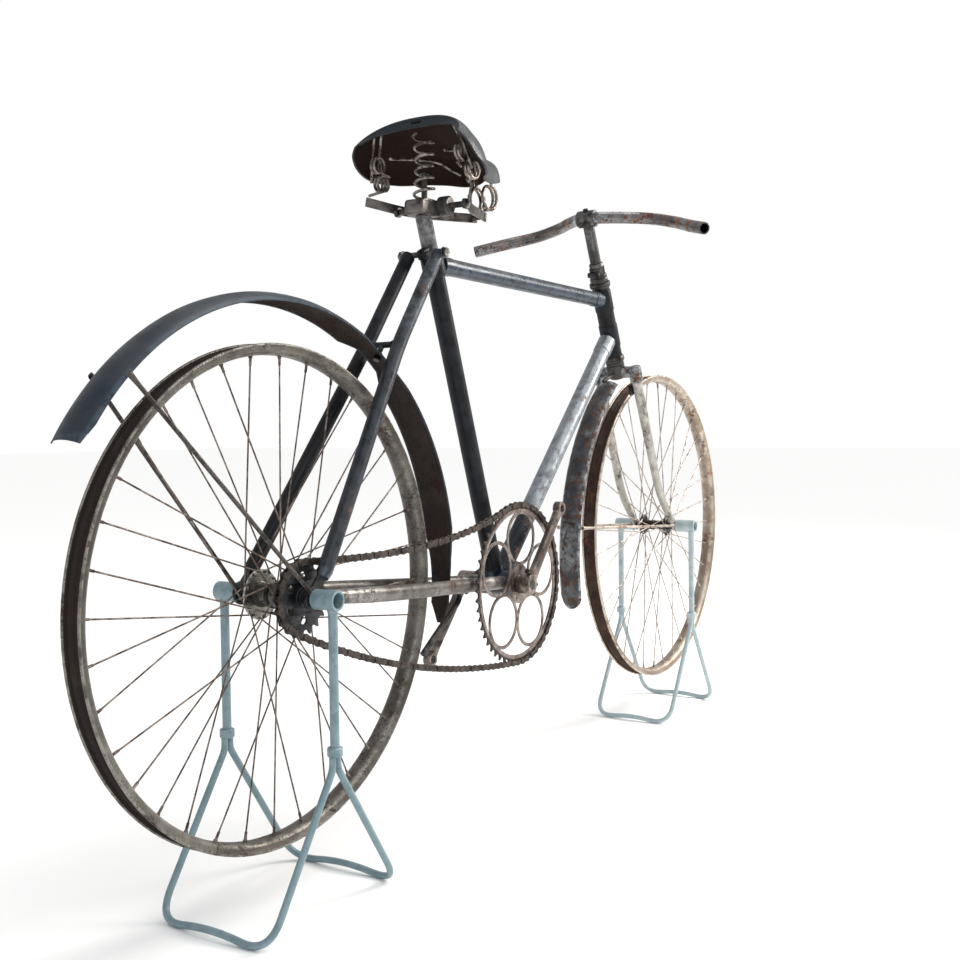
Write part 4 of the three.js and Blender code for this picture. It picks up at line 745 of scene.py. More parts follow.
HIDE_ROWS = {
    "hide_top": ((0.005, 0.008, 0.011), (0.016, 0.023, 0.031),
        0.38, 0.4),
    # The underside's reddish brown is the hide's own; its darkness is partly painted shade
    "hide_under": ((0.008, 0.005, 0.004), (0.034, 0.017, 0.012),
        0.75, 0.12),
}
FINISH |= {name: hide_material(name, *row) for name, row in HIDE_ROWS.items()}
# Near black for the inside of the handlebar's open ends: painted shade
FINISH["bore_painted_shade"] = weathered("greasy_steel", dust=0.0)
print("hide finishes made")


# %% [markdown]
# ## The wheels
#
# Both wheels have lost their tyres, so the bare rims show everything: an open channel with a beaded
# lip on either side, and a well where the tyre sat. The profile is turned in one go, with the
# channel's floor in a darker finish than the lips and the outer flanks.

# %% Rims
RIM_RADIUS = 0.323
RIM_HALF = 0.0155
RIM_DEPTH = 0.015
RIM_STEPS = 120
SPOKE_END = 0.3065


def bead(centre_radius, centre_y, bead_radius, start, end, steps):
    """Part of a circle in the rim's profile, from one angle to the other."""
    angles = [math.radians(start + (end - start) * i / steps) for i in range(steps + 1)]
    return [(centre_radius + bead_radius * math.sin(a), centre_y + bead_radius * math.cos(a))
            for a in angles]


def rim(form, centre, flank_finish, channel_finish):
    lip, foot = 0.0019, RIM_RADIUS - RIM_DEPTH
    outside = bead(RIM_RADIUS - lip, RIM_HALF - lip, lip, 180, -60, 8)
    flank = [(foot + 0.006, RIM_HALF - 0.0021), (foot + 0.003, RIM_HALF - 0.0042),
             (foot + 0.0008, 0.0075)]
    floor = [(foot, 0.0035), (foot, 0.0)]
    half_outside = outside + flank + floor
    profile = half_outside + [(r, -y) for r, y in half_outside[-2::-1]]
    turned(form, profile, centre, steps=RIM_STEPS, finish=flank_finish, closed=False)
    inner = [(RIM_RADIUS - lip, RIM_HALF - 2 * lip), (RIM_RADIUS - 0.0065, RIM_HALF - 0.004)]
    inner += [(foot + 0.0068, 0.0086), (foot + 0.003, 0.0062), (foot + 0.0024, 0.0)]
    channel = inner + [(r, -y) for r, y in inner[-2::-1]]
    turned(form, channel[::-1], centre, steps=RIM_STEPS, finish=channel_finish, closed=False)


# %% [markdown]
# A wheel with 36 spokes laced over three crosses pulls each spoke sideways at the hub: it leaves
# the flange at almost a tangent. Every spoke starts at a hole near the flange's edge, with its head
# on one face and its elbow on the other, and ends in a nipple at the middle of the rim.

# %% Spokes
SPOKE_COUNT = 36
SPOKE_FIRST = math.radians(7.5)
SPOKE_RADIUS = 0.0011
NIPPLE_LENGTH = 0.013
FLANGE_SPREAD = 0.027
LACING = math.radians(60)
HOLE_INSET = 0.0032
ELBOW_OUT = 0.0026
HEAD_IN = 0.003
WIRE_SIDE = Vector((0.3, 0.5, 0.8))


def wheel_point(centre, angle, radius, y):
    return centre + Vector((radius * math.cos(angle), y, radius * math.sin(angle)))


def spokes(form, centre, flange_radius, finish, nipple_finish):
    hole = flange_radius - HOLE_INSET
    for i in range(SPOKE_COUNT):
        rim_angle = SPOKE_FIRST + 2 * math.pi * i / SPOKE_COUNT
        side = 1 if i % 2 else -1
        lead = 1 if i % 4 < 2 else -1
        hub_angle = rim_angle + lead * LACING
        flange_y = side * FLANGE_SPREAD
        elbow = wheel_point(centre, hub_angle, hole, flange_y + side * lead * ELBOW_OUT)
        head = wheel_point(centre, hub_angle, hole, flange_y - side * lead * HEAD_IN)
        tip = wheel_point(centre, rim_angle, SPOKE_END + 0.002, 0)
        along = (tip - elbow).normalized()
        line = [head, head.lerp(elbow, 0.55), elbow + along * 0.0012, elbow + along * 0.0045]
        sweep(form, line + [tip], SPOKE_RADIUS, 8, finish, side=WIRE_SIDE)
        turned(form, [(ON_AXIS, 0.0011), (0.0012, 0.0009), (0.0021, 0), (ON_AXIS, -0.0002)],
               head - LEFT * (side * lead * 0.0001), LEFT * (-side * lead), 8, finish)
        foot = tip - along * NIPPLE_LENGTH
        nipple = [foot, foot + along * 0.001, tip - along * 0.004, tip - along * 0.0025, tip]
        sweep(form, nipple, rounds(0.0013, 0.0018, 0.0019, 0.0027, 0.003), 8, nipple_finish,
              side=WIRE_SIDE)


# %% [markdown]
# The hub is a barrel between two flanges. The rear one is the big, drilled kind that takes the
# spokes high up, and its barrel carries a dull band of grease and old chrome.

# %% Hubs
HUB_BORE = 0.0056
HALF_FLANGE = 0.0015


def hub(form, centre, flange, barrel, right_end, left_end, steel, grease):
    profile = [(HUB_BORE, right_end), (barrel * 0.62, right_end),
               (barrel * 0.72, right_end + 0.0015)]
    for side in (-1, 1):
        low, high = side * FLANGE_SPREAD - HALF_FLANGE, side * FLANGE_SPREAD + HALF_FLANGE
        profile += [(barrel, low - 0.0005), (flange - 0.0008, low), (flange, low + 0.0008)]
        profile += [(flange, high - 0.0008), (flange - 0.0008, high), (barrel, high + 0.0005)]
        if side < 0:
            profile += [(barrel * 0.94, -0.019), (barrel * 0.88, -0.012), (barrel * 0.86, 0.0)]
            profile += [(barrel * 0.88, 0.012), (barrel * 0.94, 0.019)]
    profile += [(barrel * 0.72, left_end - 0.0015), (barrel * 0.62, left_end), (HUB_BORE, left_end)]
    turned(form, profile, centre, steps=64, finish=steel)
    band = [(barrel * 0.87, 0.0025), (barrel * 0.98, 0.0032), (barrel * 0.98, 0.0078),
            (barrel * 0.87, 0.0085)]
    turned(form, band, centre, steps=48, finish=grease)
    cone = barrel * 0.56
    for end, way in ((right_end, -1), (left_end, 1)):
        cone_profile = [(HUB_BORE, end - way * 0.001), (cone, end - way * 0.001),
                        (cone, end + way * 0.0006), (cone * 0.8, end + way * 0.0016),
                        (HUB_BORE, end + way * 0.0016)]
        turned(form, cone_profile, centre, steps=32, finish=grease)


# %% [markdown]
# Both wheels are made by one function, from their own sizes and finishes. The rim and the hub with
# its spokes are two pieces, as they are in the frame.

# %% Wheels
def wheel(name, centre, flange, barrel, ends, rim_finishes, hub_finishes, *nodes):
    rim_form = Form()
    rim(rim_form, centre, 0, 1)
    make_piece(f"{name}_rim_dressed", rim_form, rim_finishes, f"{name}_wheel",
               "rusty_steel", nodes[0])
    form = Form()
    hub(form, centre, flange, barrel, *ends, 0, 1)
    spokes(form, centre, flange, 2, 3)
    make_piece(f"{name}_hub_dressed", form, hub_finishes, f"{name}_wheel", "rusty_steel", nodes[1])


wheel("rear", REAR_AXLE, 0.033, 0.017, (-0.039, 0.048), ("rear_rim_steel", "rim_channel"),
      ("hub_chrome", "greasy_steel", "spoke_wire", "spoke_wire"), "rear_rim", "rear_hub_and_spokes")
# The front wheel's lighter finishes are a painted highlight
wheel("front", FRONT_AXLE, 0.022, 0.011, (-0.036, 0.036), ("front_rim_highlight_steel", "front_channel_highlight"),
      ("greasy_steel", "nut_black", "front_spoke_highlight_wire", "front_spoke_highlight_wire"), "front_rim",
      "front_hub_and_spokes")


# %% [markdown]
# ## Axles and nuts
#
# An axle is a threaded rod. Its thread is fine enough that a row of shallow rings reads as one. The
# nuts have chamfered corners, and a washer under each.

# %% Axles
THREAD_PITCH = 0.0012
AXLE_HOLE = 0.0052


def threaded(form, start, end, radius, finish=0):
    """A rod whose thread is drawn as a row of rings."""
    start, end = Vector(start), Vector(end)
    along = (end - start).normalized()
    pitch = THREAD_PITCH
    count = max(2, int((end - start).length / pitch))
    profile = [(ON_AXIS, 0.0)]
    for i in range(count):
        profile += [(radius * 0.91, i * pitch), (radius, (i + 0.5) * pitch)]
    profile += [(radius * 0.9, count * pitch), (ON_AXIS, count * pitch)]
    turned(form, profile, start, along, 16, finish)


def axle(name, centre, outer, locknuts, body, ends):
    """A threaded axle with its cone locknuts and its outer nuts."""
    form = Form()
    rod(form, centre - LEFT * (outer - 0.004), centre + LEFT * (outer - 0.004), 0.0042, 20)
    for way, inner, face in ((-1, -locknuts[0], ends[0]), (1, locknuts[1], ends[1])):
        threaded(form, centre + LEFT * (way * (outer - 0.01)), centre + LEFT * (way * outer),
                 0.0047)
        rod(form, centre + LEFT * (inner + way * 0.0006), centre + LEFT * (way * (face - 0.0012)),
            0.0088, 28, 1)
        turned(form, square_ring(0.0046, 0.0095, 0, 0.0012),
               centre + LEFT * (way * face), LEFT * way, 32, 1)
        hexagon_nut(form, centre + LEFT * (way * (face + 0.0013)), LEFT * way, 0.0165, 0.0078,
                    0.0046, 1)
    dress(name, form, ("spoke_wire", "greasy_steel"), body, "rusty_steel")


axle("rear_axle", REAR_AXLE, 0.0851, (0.0485, 0.0488), "frame", (0.065, 0.065))
axle("front_axle", FRONT_AXLE, 0.0701, (0.0368, 0.0368), "fork", (0.05, 0.05))


# %% [markdown]
# ## Chainring, sprocket and chain
#
# A chain wheel's teeth follow from its pitch: each roller lies in a round pocket, and the flanks
# rise to a narrow tip between two pockets. We draw one pocket and one tip and repeat them around
# the wheel.

# %% Toothed outlines
CHAIN_PITCH = 0.015875
CHAIN_LINE = -0.0435
RING_TEETH = 52
SPROCKET_TEETH = 18
TOOTH_POCKET = ((-0.0046, -0.0012), (-0.0034, -0.0033), (0.0, -0.0042), (0.0034, -0.0033),
                (0.0046, -0.0012))
TOOTH_TIP = ((0.0063, 0.0022), (0.0072, 0.0033), (0.0086, 0.0033), (0.0096, 0.0022))


def pitch_radius(teeth):
    return CHAIN_PITCH / (2 * math.sin(math.pi / teeth))


def toothed_outline(teeth, first_pocket):
    radius = pitch_radius(teeth)
    outline = []
    for i in range(teeth):
        for across, rise in TOOTH_POCKET + TOOTH_TIP:
            angle = first_pocket + 2 * math.pi * i / teeth + across / radius
            outline.append(((radius + rise) * math.cos(angle), (radius + rise) * math.sin(angle)))
    return outline


RING_RADIUS = pitch_radius(RING_TEETH)
SPROCKET_RADIUS = pitch_radius(SPROCKET_TEETH)
print("pitch radii", round(RING_RADIUS, 4), round(SPROCKET_RADIUS, 4))


# %% [markdown]
# The chain hangs slack. It leaves the chainring along a tangent, sags in a shallow curve and runs
# on to the sprocket along another tangent, and the same below. A quadratic curve does exactly that:
# its middle point lies where the two tangents meet.

# %% The chain's path
RING_CENTRE = CRANK_CENTRE - REAR_AXLE
RING_ARC = (math.radians(-94), math.radians(108))
SPROCKET_ARC = (math.radians(86), math.radians(246))


def rim_place(centre, radius, angle):
    return Vector((centre.x + radius * math.cos(angle), 0, centre.z + radius * math.sin(angle)))


def slack_run(start, start_angle, end, end_angle, steps=80):
    """From one tangent to the other, through the point where both meet."""
    a = Vector((-math.sin(start_angle), 0, math.cos(start_angle)))
    b = Vector((-math.sin(end_angle), 0, math.cos(end_angle)))
    gap = end - start
    share = (gap.x * b.z - gap.z * b.x) / (a.x * b.z - a.z * b.x)
    middle = start + a * share
    curve = [i / steps for i in range(1, steps)]
    return [start * (1 - t) ** 2 + middle * (2 * t * (1 - t)) + end * t**2 for t in curve]


def arc_places(centre, radius, angles, steps=120):
    first, last = angles
    return [rim_place(centre, radius, first + (last - first) * i / steps) for i in range(steps + 1)]


origin = Vector((0, 0, 0))
ring_arc = arc_places(RING_CENTRE, RING_RADIUS, RING_ARC)
sprocket_arc = arc_places(origin, SPROCKET_RADIUS, SPROCKET_ARC)
upper_run = slack_run(ring_arc[-1], RING_ARC[1], sprocket_arc[0], SPROCKET_ARC[0])
lower_run = slack_run(sprocket_arc[-1], SPROCKET_ARC[1], ring_arc[0], RING_ARC[0])
chain_path = ring_arc + upper_run + sprocket_arc + lower_run + [ring_arc[0]]
chain_length = sum((b - a).length for a, b in zip(chain_path, chain_path[1:]))
LINKS = 2 * round(chain_length / CHAIN_PITCH / 2)
pins = [REAR_AXLE + LEFT * CHAIN_LINE + p for p in evenly(chain_path, LINKS)[:-1]]
print(LINKS, "links on", round(chain_length, 4), "m")


def nearest_pin_angle(centre, radius, middle):
    """The direction of the pin that lies nearest the middle of a wheel's arc."""
    goal = centre + Vector((radius * math.cos(middle), 0, radius * math.sin(middle)))
    pin = min(pins, key=lambda p: (Vector((p.x, 0, p.z)) - Vector((goal.x, 0, goal.z))).length)
    return math.atan2(pin.z - centre.z, pin.x - centre.x)


ring_phase = nearest_pin_angle(CRANK_CENTRE, RING_RADIUS, math.radians(7))
sprocket_phase = nearest_pin_angle(REAR_AXLE, SPROCKET_RADIUS, math.radians(166))


# %% [markdown]
# Every second link of a roller chain is an outer one. Its two side plates lie outside the plates of
# its neighbours, and all plates have round ends and a waist. Between the inner plates sits a roller
# on each pin. The plates' edges are drawn with a small chamfer, which is what makes a row of them
# read as metal.

# %% Chain links
PLATE_END = 0.0054
PLATE_WAIST = 0.0035
PLATE_THICKNESS = 0.001
PLATE_CHAMFER = 0.0003
INNER_PLATE = 0.0024
OUTER_PLATE = 0.0036
ROLLER_RADIUS = 0.0042
PIN_RADIUS = 0.0022
PIN_HALF = 0.0042


def link_outline(length, shrink=0.0):
    outline = []
    for way in (1, -1):
        for i in range(7):
            angle = math.radians(-72 + 24 * i) if way > 0 else math.radians(108 + 24 * i)
            reach = PLATE_END - shrink
            outline.append((way * length / 2 + reach * math.cos(angle), reach * math.sin(angle)))
        outline.append((0.0, way * (PLATE_WAIST - shrink)))
    return outline


def link_plate(form, a, b, y):
    """One side plate of a link, from the pin at a to the pin at b."""
    along = (b - a).normalized()
    upward = along.cross(LEFT)
    middle = (a + b) / 2
    length = (b - a).length
    half = PLATE_THICKNESS / 2
    rings = []
    flat = half - PLATE_CHAMFER
    for across, shrink in ((-half, PLATE_CHAMFER), (-flat, 0), (flat, 0), (half, PLATE_CHAMFER)):
        rings.append([middle + LEFT * (y + across) + along * t + upward * h
                      for t, h in link_outline(length, shrink)])
    form.grid(rings)


chain_form = Form()
for i, pin in enumerate(pins):
    following = pins[(i + 1) % len(pins)]
    spread = OUTER_PLATE if i % 2 else INNER_PLATE
    for side in (-1, 1):
        link_plate(chain_form, pin, following, side * spread)
    turned(chain_form, [(PIN_RADIUS - 0.0004, -PIN_HALF), (PIN_RADIUS, 0.0004 - PIN_HALF),
                        (PIN_RADIUS, PIN_HALF - 0.0004), (PIN_RADIUS - 0.0004, PIN_HALF),
                        (ON_AXIS, PIN_HALF - 0.0002), (ON_AXIS, 0.0002 - PIN_HALF)], pin, steps=8,
           finish=1)
    turned(chain_form, square_ring(PIN_RADIUS, ROLLER_RADIUS, -0.0018, 0.0018), pin, steps=12,
           finish=1)
dress("chain", chain_form, ("chain_steel", "greasy_steel"), "frame", "rusty_steel")


# %% [markdown]
# The chainring is a toothed band on five rings that touch each other like petals. Each petal is a
# plate with a round hole. They are a hair thinner than the band, so that two flat faces never share
# a plane.

# %% Chainring
RING_THICKNESS = 0.0026
RING_BAND_INNER = 0.1185
RING_GREASE_INNER = 0.1242
RING_HUB_RADIUS = 0.033
LOOP_WALL = 0.0058
LOOPS = 5
CRANK_DEGREES = 48
loop_half_turn = math.sin(math.radians(180 / LOOPS))
LOOP_CENTRE = (RING_BAND_INNER + 0.0018) / (1 + loop_half_turn)
LOOP_RADIUS = LOOP_CENTRE * loop_half_turn + 0.0012
ring_centre = CRANK_CENTRE + LEFT * CHAIN_LINE
ring = Form()
plate(ring, [toothed_outline(RING_TEETH, ring_phase), circle_outline(RING_GREASE_INNER, steps=96)],
      RING_THICKNESS, ring_centre, 0.0004, 1)
plate(ring, [circle_outline(RING_GREASE_INNER + 0.0006, steps=96),
             circle_outline(RING_BAND_INNER, steps=96)], RING_THICKNESS - 0.0001, ring_centre,
      0.0004)
for i in range(LOOPS):
    turn_to = math.radians(CRANK_DEGREES + 360 / LOOPS * (i + 0.5))
    x, z = LOOP_CENTRE * math.cos(turn_to), LOOP_CENTRE * math.sin(turn_to)
    loop = [circle_outline(radius, x, z, 56) for radius in (LOOP_RADIUS, LOOP_RADIUS - LOOP_WALL)]
    plate(ring, loop, RING_THICKNESS - 0.0001 * (2 + i), ring_centre, 0.0004)
plate(ring, [circle_outline(RING_HUB_RADIUS), circle_outline(0.0084)], RING_THICKNESS + 0.0003,
      ring_centre, 0.0004)
dress("chainring", ring, ("ring_nickel", "chain_steel"), "crankset", "worn_nickel")

# %% [markdown]
# The sprocket screws onto its freewheel: a dark, greasy boss with two pin holes for the tool and
# six round holes in the web. The toothed plate is drawn like the chainring's, and the boss is
# turned.

# %% Sprocket
sprocket_centre = REAR_AXLE + LEFT * CHAIN_LINE
sprocket = Form()
WEB_HOLES = 6
WEB_HOLE_RADIUS = 0.0058
WEB_HOLE_REACH = 0.028
hole_places = unit_circle(WEB_HOLES, math.radians(30))
web_holes = [circle_outline(WEB_HOLE_RADIUS, WEB_HOLE_REACH * a, WEB_HOLE_REACH * b, 24)
             for a, b in hole_places]
plate(sprocket, [toothed_outline(SPROCKET_TEETH, sprocket_phase), circle_outline(0.01), *web_holes],
      0.0026, sprocket_centre, 0.0004)
turned(sprocket, [(0.0056, -0.0042), (0.01, -0.0042), (0.0108, -0.0036), (0.011, -0.0026),
                  (0.0136, -0.0026), (0.014, -0.002), (0.014, 0.0036), (0.0134, 0.0042),
                  (0.0056, 0.0042)], sprocket_centre, steps=48)
for angle in (0.4, 0.4 + math.pi):
    turned(sprocket, square_ring(0.001, 0.0018, -0.0004, 0.0004),
           wheel_point(sprocket_centre, angle, 0.0122, -0.0028), steps=12)
make_piece("sprocket_dressed", sprocket, ("greasy_steel",), "sprocket", "greasy_steel",
           "rear_sprocket")


# %% [markdown]
# ## Cranks
#
# Each crank is forged in one piece: a boss on the axle, an arm that narrows towards the pedal and
# an eye for the pedal's thread. A tapered cotter pin crosses the boss and is drawn tight by a small
# nut.

# %% Cranks
CRANK_LENGTH = 0.16
CRANK_OUTER = 0.07
CRANK_THICKNESS = 0.013
BOSS_RADIUS = 0.016
EYE_RADIUS = 0.012
EYE_BORE = 0.007
ARM_STATIONS = ((0.006, 0.0118), (0.024, 0.0102), (0.045, 0.0093), (0.09, 0.0086), (0.136, 0.0078),
                (0.15, 0.0092))


def rounded_section(power, sides=28):
    """A square with soft corners; a higher power makes it squarer."""
    points = []
    for a, b in unit_circle(sides):
        points.append((math.copysign(abs(a) ** (2 / power), a),
                       math.copysign(abs(b) ** (2 / power), b)))
    return points


def chamfered_ring(form, centre, bore, radius, start, end, finish=0, steps=40, chamfer=0.0008):
    turned(form, [(bore, start), (radius - chamfer, start), (radius, start + chamfer),
                  (radius, end - chamfer), (radius - chamfer, end), (bore, end)], centre,
           steps=steps, finish=finish)


def crank(form, angle, side, boss_inner):
    along = Vector((math.cos(angle), 0, math.sin(angle)))
    across = Vector((-math.sin(angle), 0, math.cos(angle)))
    arm_y = side * (CRANK_OUTER - CRANK_THICKNESS / 2)
    centre = CRANK_CENTRE + LEFT * arm_y
    arm = [centre + along * reach for reach, _ in ARM_STATIONS]
    sizes = [(CRANK_THICKNESS / 2 - 0.0004, half) for _, half in ARM_STATIONS]
    sweep(form, arm, sizes, finish=0, section=rounded_section(3.4))
    outer, inner = side * CRANK_OUTER, side * boss_inner
    chamfered_ring(form, CRANK_CENTRE, 0.0083, BOSS_RADIUS, min(outer, inner), max(outer, inner))
    eye = centre + along * CRANK_LENGTH
    half = CRANK_THICKNESS / 2
    chamfered_ring(form, eye, EYE_BORE, EYE_RADIUS, -half, half)
    for k in range(5):
        depth = -half + 0.0014 + k * 0.0022
        turned(form, [(EYE_BORE, depth), (EYE_BORE - 0.0006, depth + 0.0005),
                      (EYE_BORE, depth + 0.001)], eye, steps=24, finish=1)
    cotter = centre + along * 0.0125
    rod(form, cotter - across * 0.0205, cotter + across * 0.0205, 0.0041, 20, 1, 0.0034)
    hexagon_nut(form, cotter + across * 0.0158, across, 0.0088, 0.0046, finish=1)
    threaded(form, cotter + across * 0.02, cotter + across * 0.0232, 0.0027, finish=1)


right_crank, left_crank = Form(), Form()
crank(right_crank, math.radians(CRANK_DEGREES), -1, 0.0451)
crank(left_crank, math.radians(CRANK_DEGREES + 180), 1, 0.039)
crank_finishes = ("ring_nickel", "nut_black")
dress("crank_right", right_crank, crank_finishes, "crankset", "worn_nickel")
dress("crank_left", left_crank, crank_finishes, "crankset", "worn_nickel")
crank_axle = Form()
rod(crank_axle, CRANK_CENTRE - LEFT * CRANK_OUTER, CRANK_CENTRE + LEFT * CRANK_OUTER, 0.008, 32,
    rim=0.001)
dress("crank_axle", crank_axle, ("nut_black",), "crankset", "greasy_steel")


# %% [markdown]
# ## The frame's tubes
#
# Steel roadster frames are brazed from plain tubes in lugs: short sleeves whose ends are cut to
# soft points. Each tube becomes one smooth sweep, and each lug is a slightly wider sleeve whose rim
# follows a wave around the tube.

# %% Tubes and lug sleeves
TUBE_SIDES = 40
LUG_SKIN = 0.0012
LUG_WAVE = 0.006
LUG_WAVES = 2


def lug(form, start, end, radius):
    """A sleeve from start to end; its far rim waves towards and away from the end."""
    start, end = Vector(start), Vector(end)
    along = (end - start).normalized()
    second = along.cross(LEFT)
    length = (end - start).length
    rings = []
    for a, b in unit_circle(TUBE_SIDES):
        angle = math.atan2(b, a)
        reach = length - LUG_WAVE / 2 + LUG_WAVE / 2 * math.cos(LUG_WAVES * angle)
        out = LEFT * a + second * b
        rings.append([
            start + out * radius,
            start + out * (radius + LUG_SKIN),
            start + out * (radius + LUG_SKIN) + along * (reach - LUG_SKIN * 0.6),
            start + out * (radius + LUG_SKIN * 0.5) + along * reach,
            start + out * radius + along * reach,
        ])
    form.grid(rings, closed=True)


# %% [markdown]
# The top tube and the down tube meet the steering a hand's width apart. The down tube is strongly
# lit towards its front, so it gets a finish of its own with a painted highlight. Both are made by
# one function, since only the numbers differ.

# %% Top tube and down tube
SEAT_LENGTH = 0.562
SEAT_RADIUS = 0.0148
TOP_RADIUS = 0.0136
DOWN_RADIUS = 0.0159
HEAD_RADIUS = 0.017
HEAD_ENDS = (0.398, 0.562)
TOP_JOINT, DOWN_JOINT = 0.524, 0.452
# How far from the middle of a joint its tube begins: at the seat tube, the head tube and the shell
AT_SEAT, AT_HEAD, AT_SHELL = 0.0195, 0.0178, 0.0205
top_start, top_end = on_seat_tube(0.542), on_steering(TOP_JOINT)
down_start, down_end = CRANK_CENTRE, on_steering(DOWN_JOINT)


def along_line(start, end, distance):
    """The point at a distance from start, on the way to end."""
    return start + (end - start).normalized() * distance


def lugged_tube(name, start, end, inset, sleeves, radius, finish):
    """A tube between two joints, with a lug sleeve at each end."""
    form = Form()
    foot, top = along_line(start, end, inset), along_line(end, start, AT_HEAD)
    rod(form, foot, top, radius, TUBE_SIDES)
    lug(form, foot, along_line(start, end, sleeves[0]), radius)
    lug(form, top, along_line(end, start, sleeves[1]), radius)
    dress(name, form, (finish,), "frame", "frame_paint")


lugged_tube("top_tube", top_start, top_end, AT_SEAT, (0.048, 0.05), TOP_RADIUS, "frame_paint")
# The down tube's finish carries a painted highlight towards its front end
lugged_tube("down_tube", down_start, down_end, AT_SHELL, (0.052, 0.054), DOWN_RADIUS,
            "down_tube_highlight_paint")

# %% [markdown]
# The head tube carries the steering between two cups. Lug sleeves meet it at both joints, and each
# cup is a turned ring with a groove where its two halves meet.

# %% Head tube
head = Form()
turned(head, [(0.014, HEAD_ENDS[0] + 0.004), (HEAD_RADIUS, HEAD_ENDS[0] + 0.004),
              (HEAD_RADIUS, HEAD_ENDS[1] - 0.004), (0.014, HEAD_ENDS[1] - 0.004)], STEER_FOOT,
       STEER, 48)
CUP = ((0.014, 0), (0.019, 0), (0.0203, 0.0012), (0.0205, 0.0045), (0.0198, 0.0052),
       (0.0203, 0.006), (0.02, 0.0085), (0.0182, 0.011), (0.014, 0.011))
turned(head, [(r, HEAD_ENDS[0] + d) for r, d in CUP], STEER_FOOT, STEER, 48, 1)
turned(head, [(r, HEAD_ENDS[1] - d) for r, d in CUP], STEER_FOOT, STEER, 48, 1)
for middle, reach in ((TOP_JOINT, 0.0215), (DOWN_JOINT, 0.0235)):
    sleeve = [(0.016, middle - reach), (0.0181, middle - reach + 0.001),
              (0.0184, middle - reach + 0.003), (0.0184, middle + reach - 0.003),
              (0.0181, middle + reach - 0.001), (0.016, middle + reach)]
    turned(head, sleeve, STEER_FOOT, STEER, 48)
dress("head_tube", head, ("dark_tube", "nut_black"), "frame", "frame_paint")

# %% [markdown]
# At the top of the seat tube the lug is slit behind and pinched by a binder bolt through two ears,
# and the seat stays end on the same bolt. Its bright nut is one of the few shiny spots on the
# bicycle.

# %% Seat tube and cluster
SEAT_LUG_RADIUS = 0.018
seat_tube = Form()
turned(seat_tube, square_ring(0.0127, SEAT_RADIUS, 0.02, 0.53), CRANK_CENTRE, SEAT, TUBE_SIDES)
turned(seat_tube, [(0.0127, 0.522), (0.0168, 0.522), (0.0178, 0.5235), (SEAT_LUG_RADIUS, 0.526),
                   (SEAT_LUG_RADIUS, 0.5595), (0.0172, SEAT_LENGTH), (0.0127, SEAT_LENGTH)],
       CRANK_CENTRE, SEAT, 48)
lug(seat_tube, on_seat_tube(0.03), on_seat_tube(0.06), SEAT_RADIUS)
SEAT_BEHIND = Vector((-SEAT.z, 0, SEAT.x))
binder = place(0.3419, 0, 0.4769)
for side in (-1, 1):
    ear_root = binder + LEFT * (side * 0.0044)
    ear = [ear_root + SEAT_BEHIND * -0.008, ear_root + SEAT_BEHIND * 0.0055]
    sweep(seat_tube, ear, [(0.0028, 0.009), (0.0028, 0.0072)], section=rounded_section(5, 24))
rod(seat_tube, binder - LEFT * 0.033, binder + LEFT * 0.033, 0.0046, 24, 1)
dress("seat_tube", seat_tube, ("dark_tube", "stem_steel"), "frame", "frame_paint")

# %% [markdown]
# The bottom bracket shell joins three tubes and carries the crank axle. It is a thick turned ring
# with a screwed cup in either end.

# %% Bottom bracket
shell = Form()
turned(shell, [(0.0165, -0.034), (0.0203, -0.034), (0.021, -0.0332), (0.021, 0.0332),
               (0.0203, 0.034), (0.0165, 0.034)], CRANK_CENTRE, steps=56)
for side in (-1, 1):
    turned(shell, [(0.0092, side * 0.033), (0.0176, side * 0.033), (0.0182, side * 0.0338),
                   (0.0182, side * 0.0372), (0.0172, side * 0.0382), (0.0092, side * 0.0382)],
           CRANK_CENTRE, steps=40, finish=1)
lug(shell, on_seat_tube(0.0135), on_seat_tube(0.032), SEAT_RADIUS)
make_piece("bottom_bracket_dressed", shell, ("frame_paint", "greasy_steel"), "frame", "frame_paint",
           "bottom_bracket_shell")


# %% [markdown]
# ## The rear triangle
#
# The chain stays are flattened so that the wheel and the chainring fit between them. The seat stays
# are round, and all four end in plates that hold the axle. A stay is one sweep along a bent line
# whose width changes on the way, and a dropout is a flat plate drawn from its outline.

# %% Stays and dropouts
STAY_KINK = (0.235, 0.334)
DROPOUT_Y = 0.06
STAY_DIRECTION = Vector((235, 0, 334)).normalized()
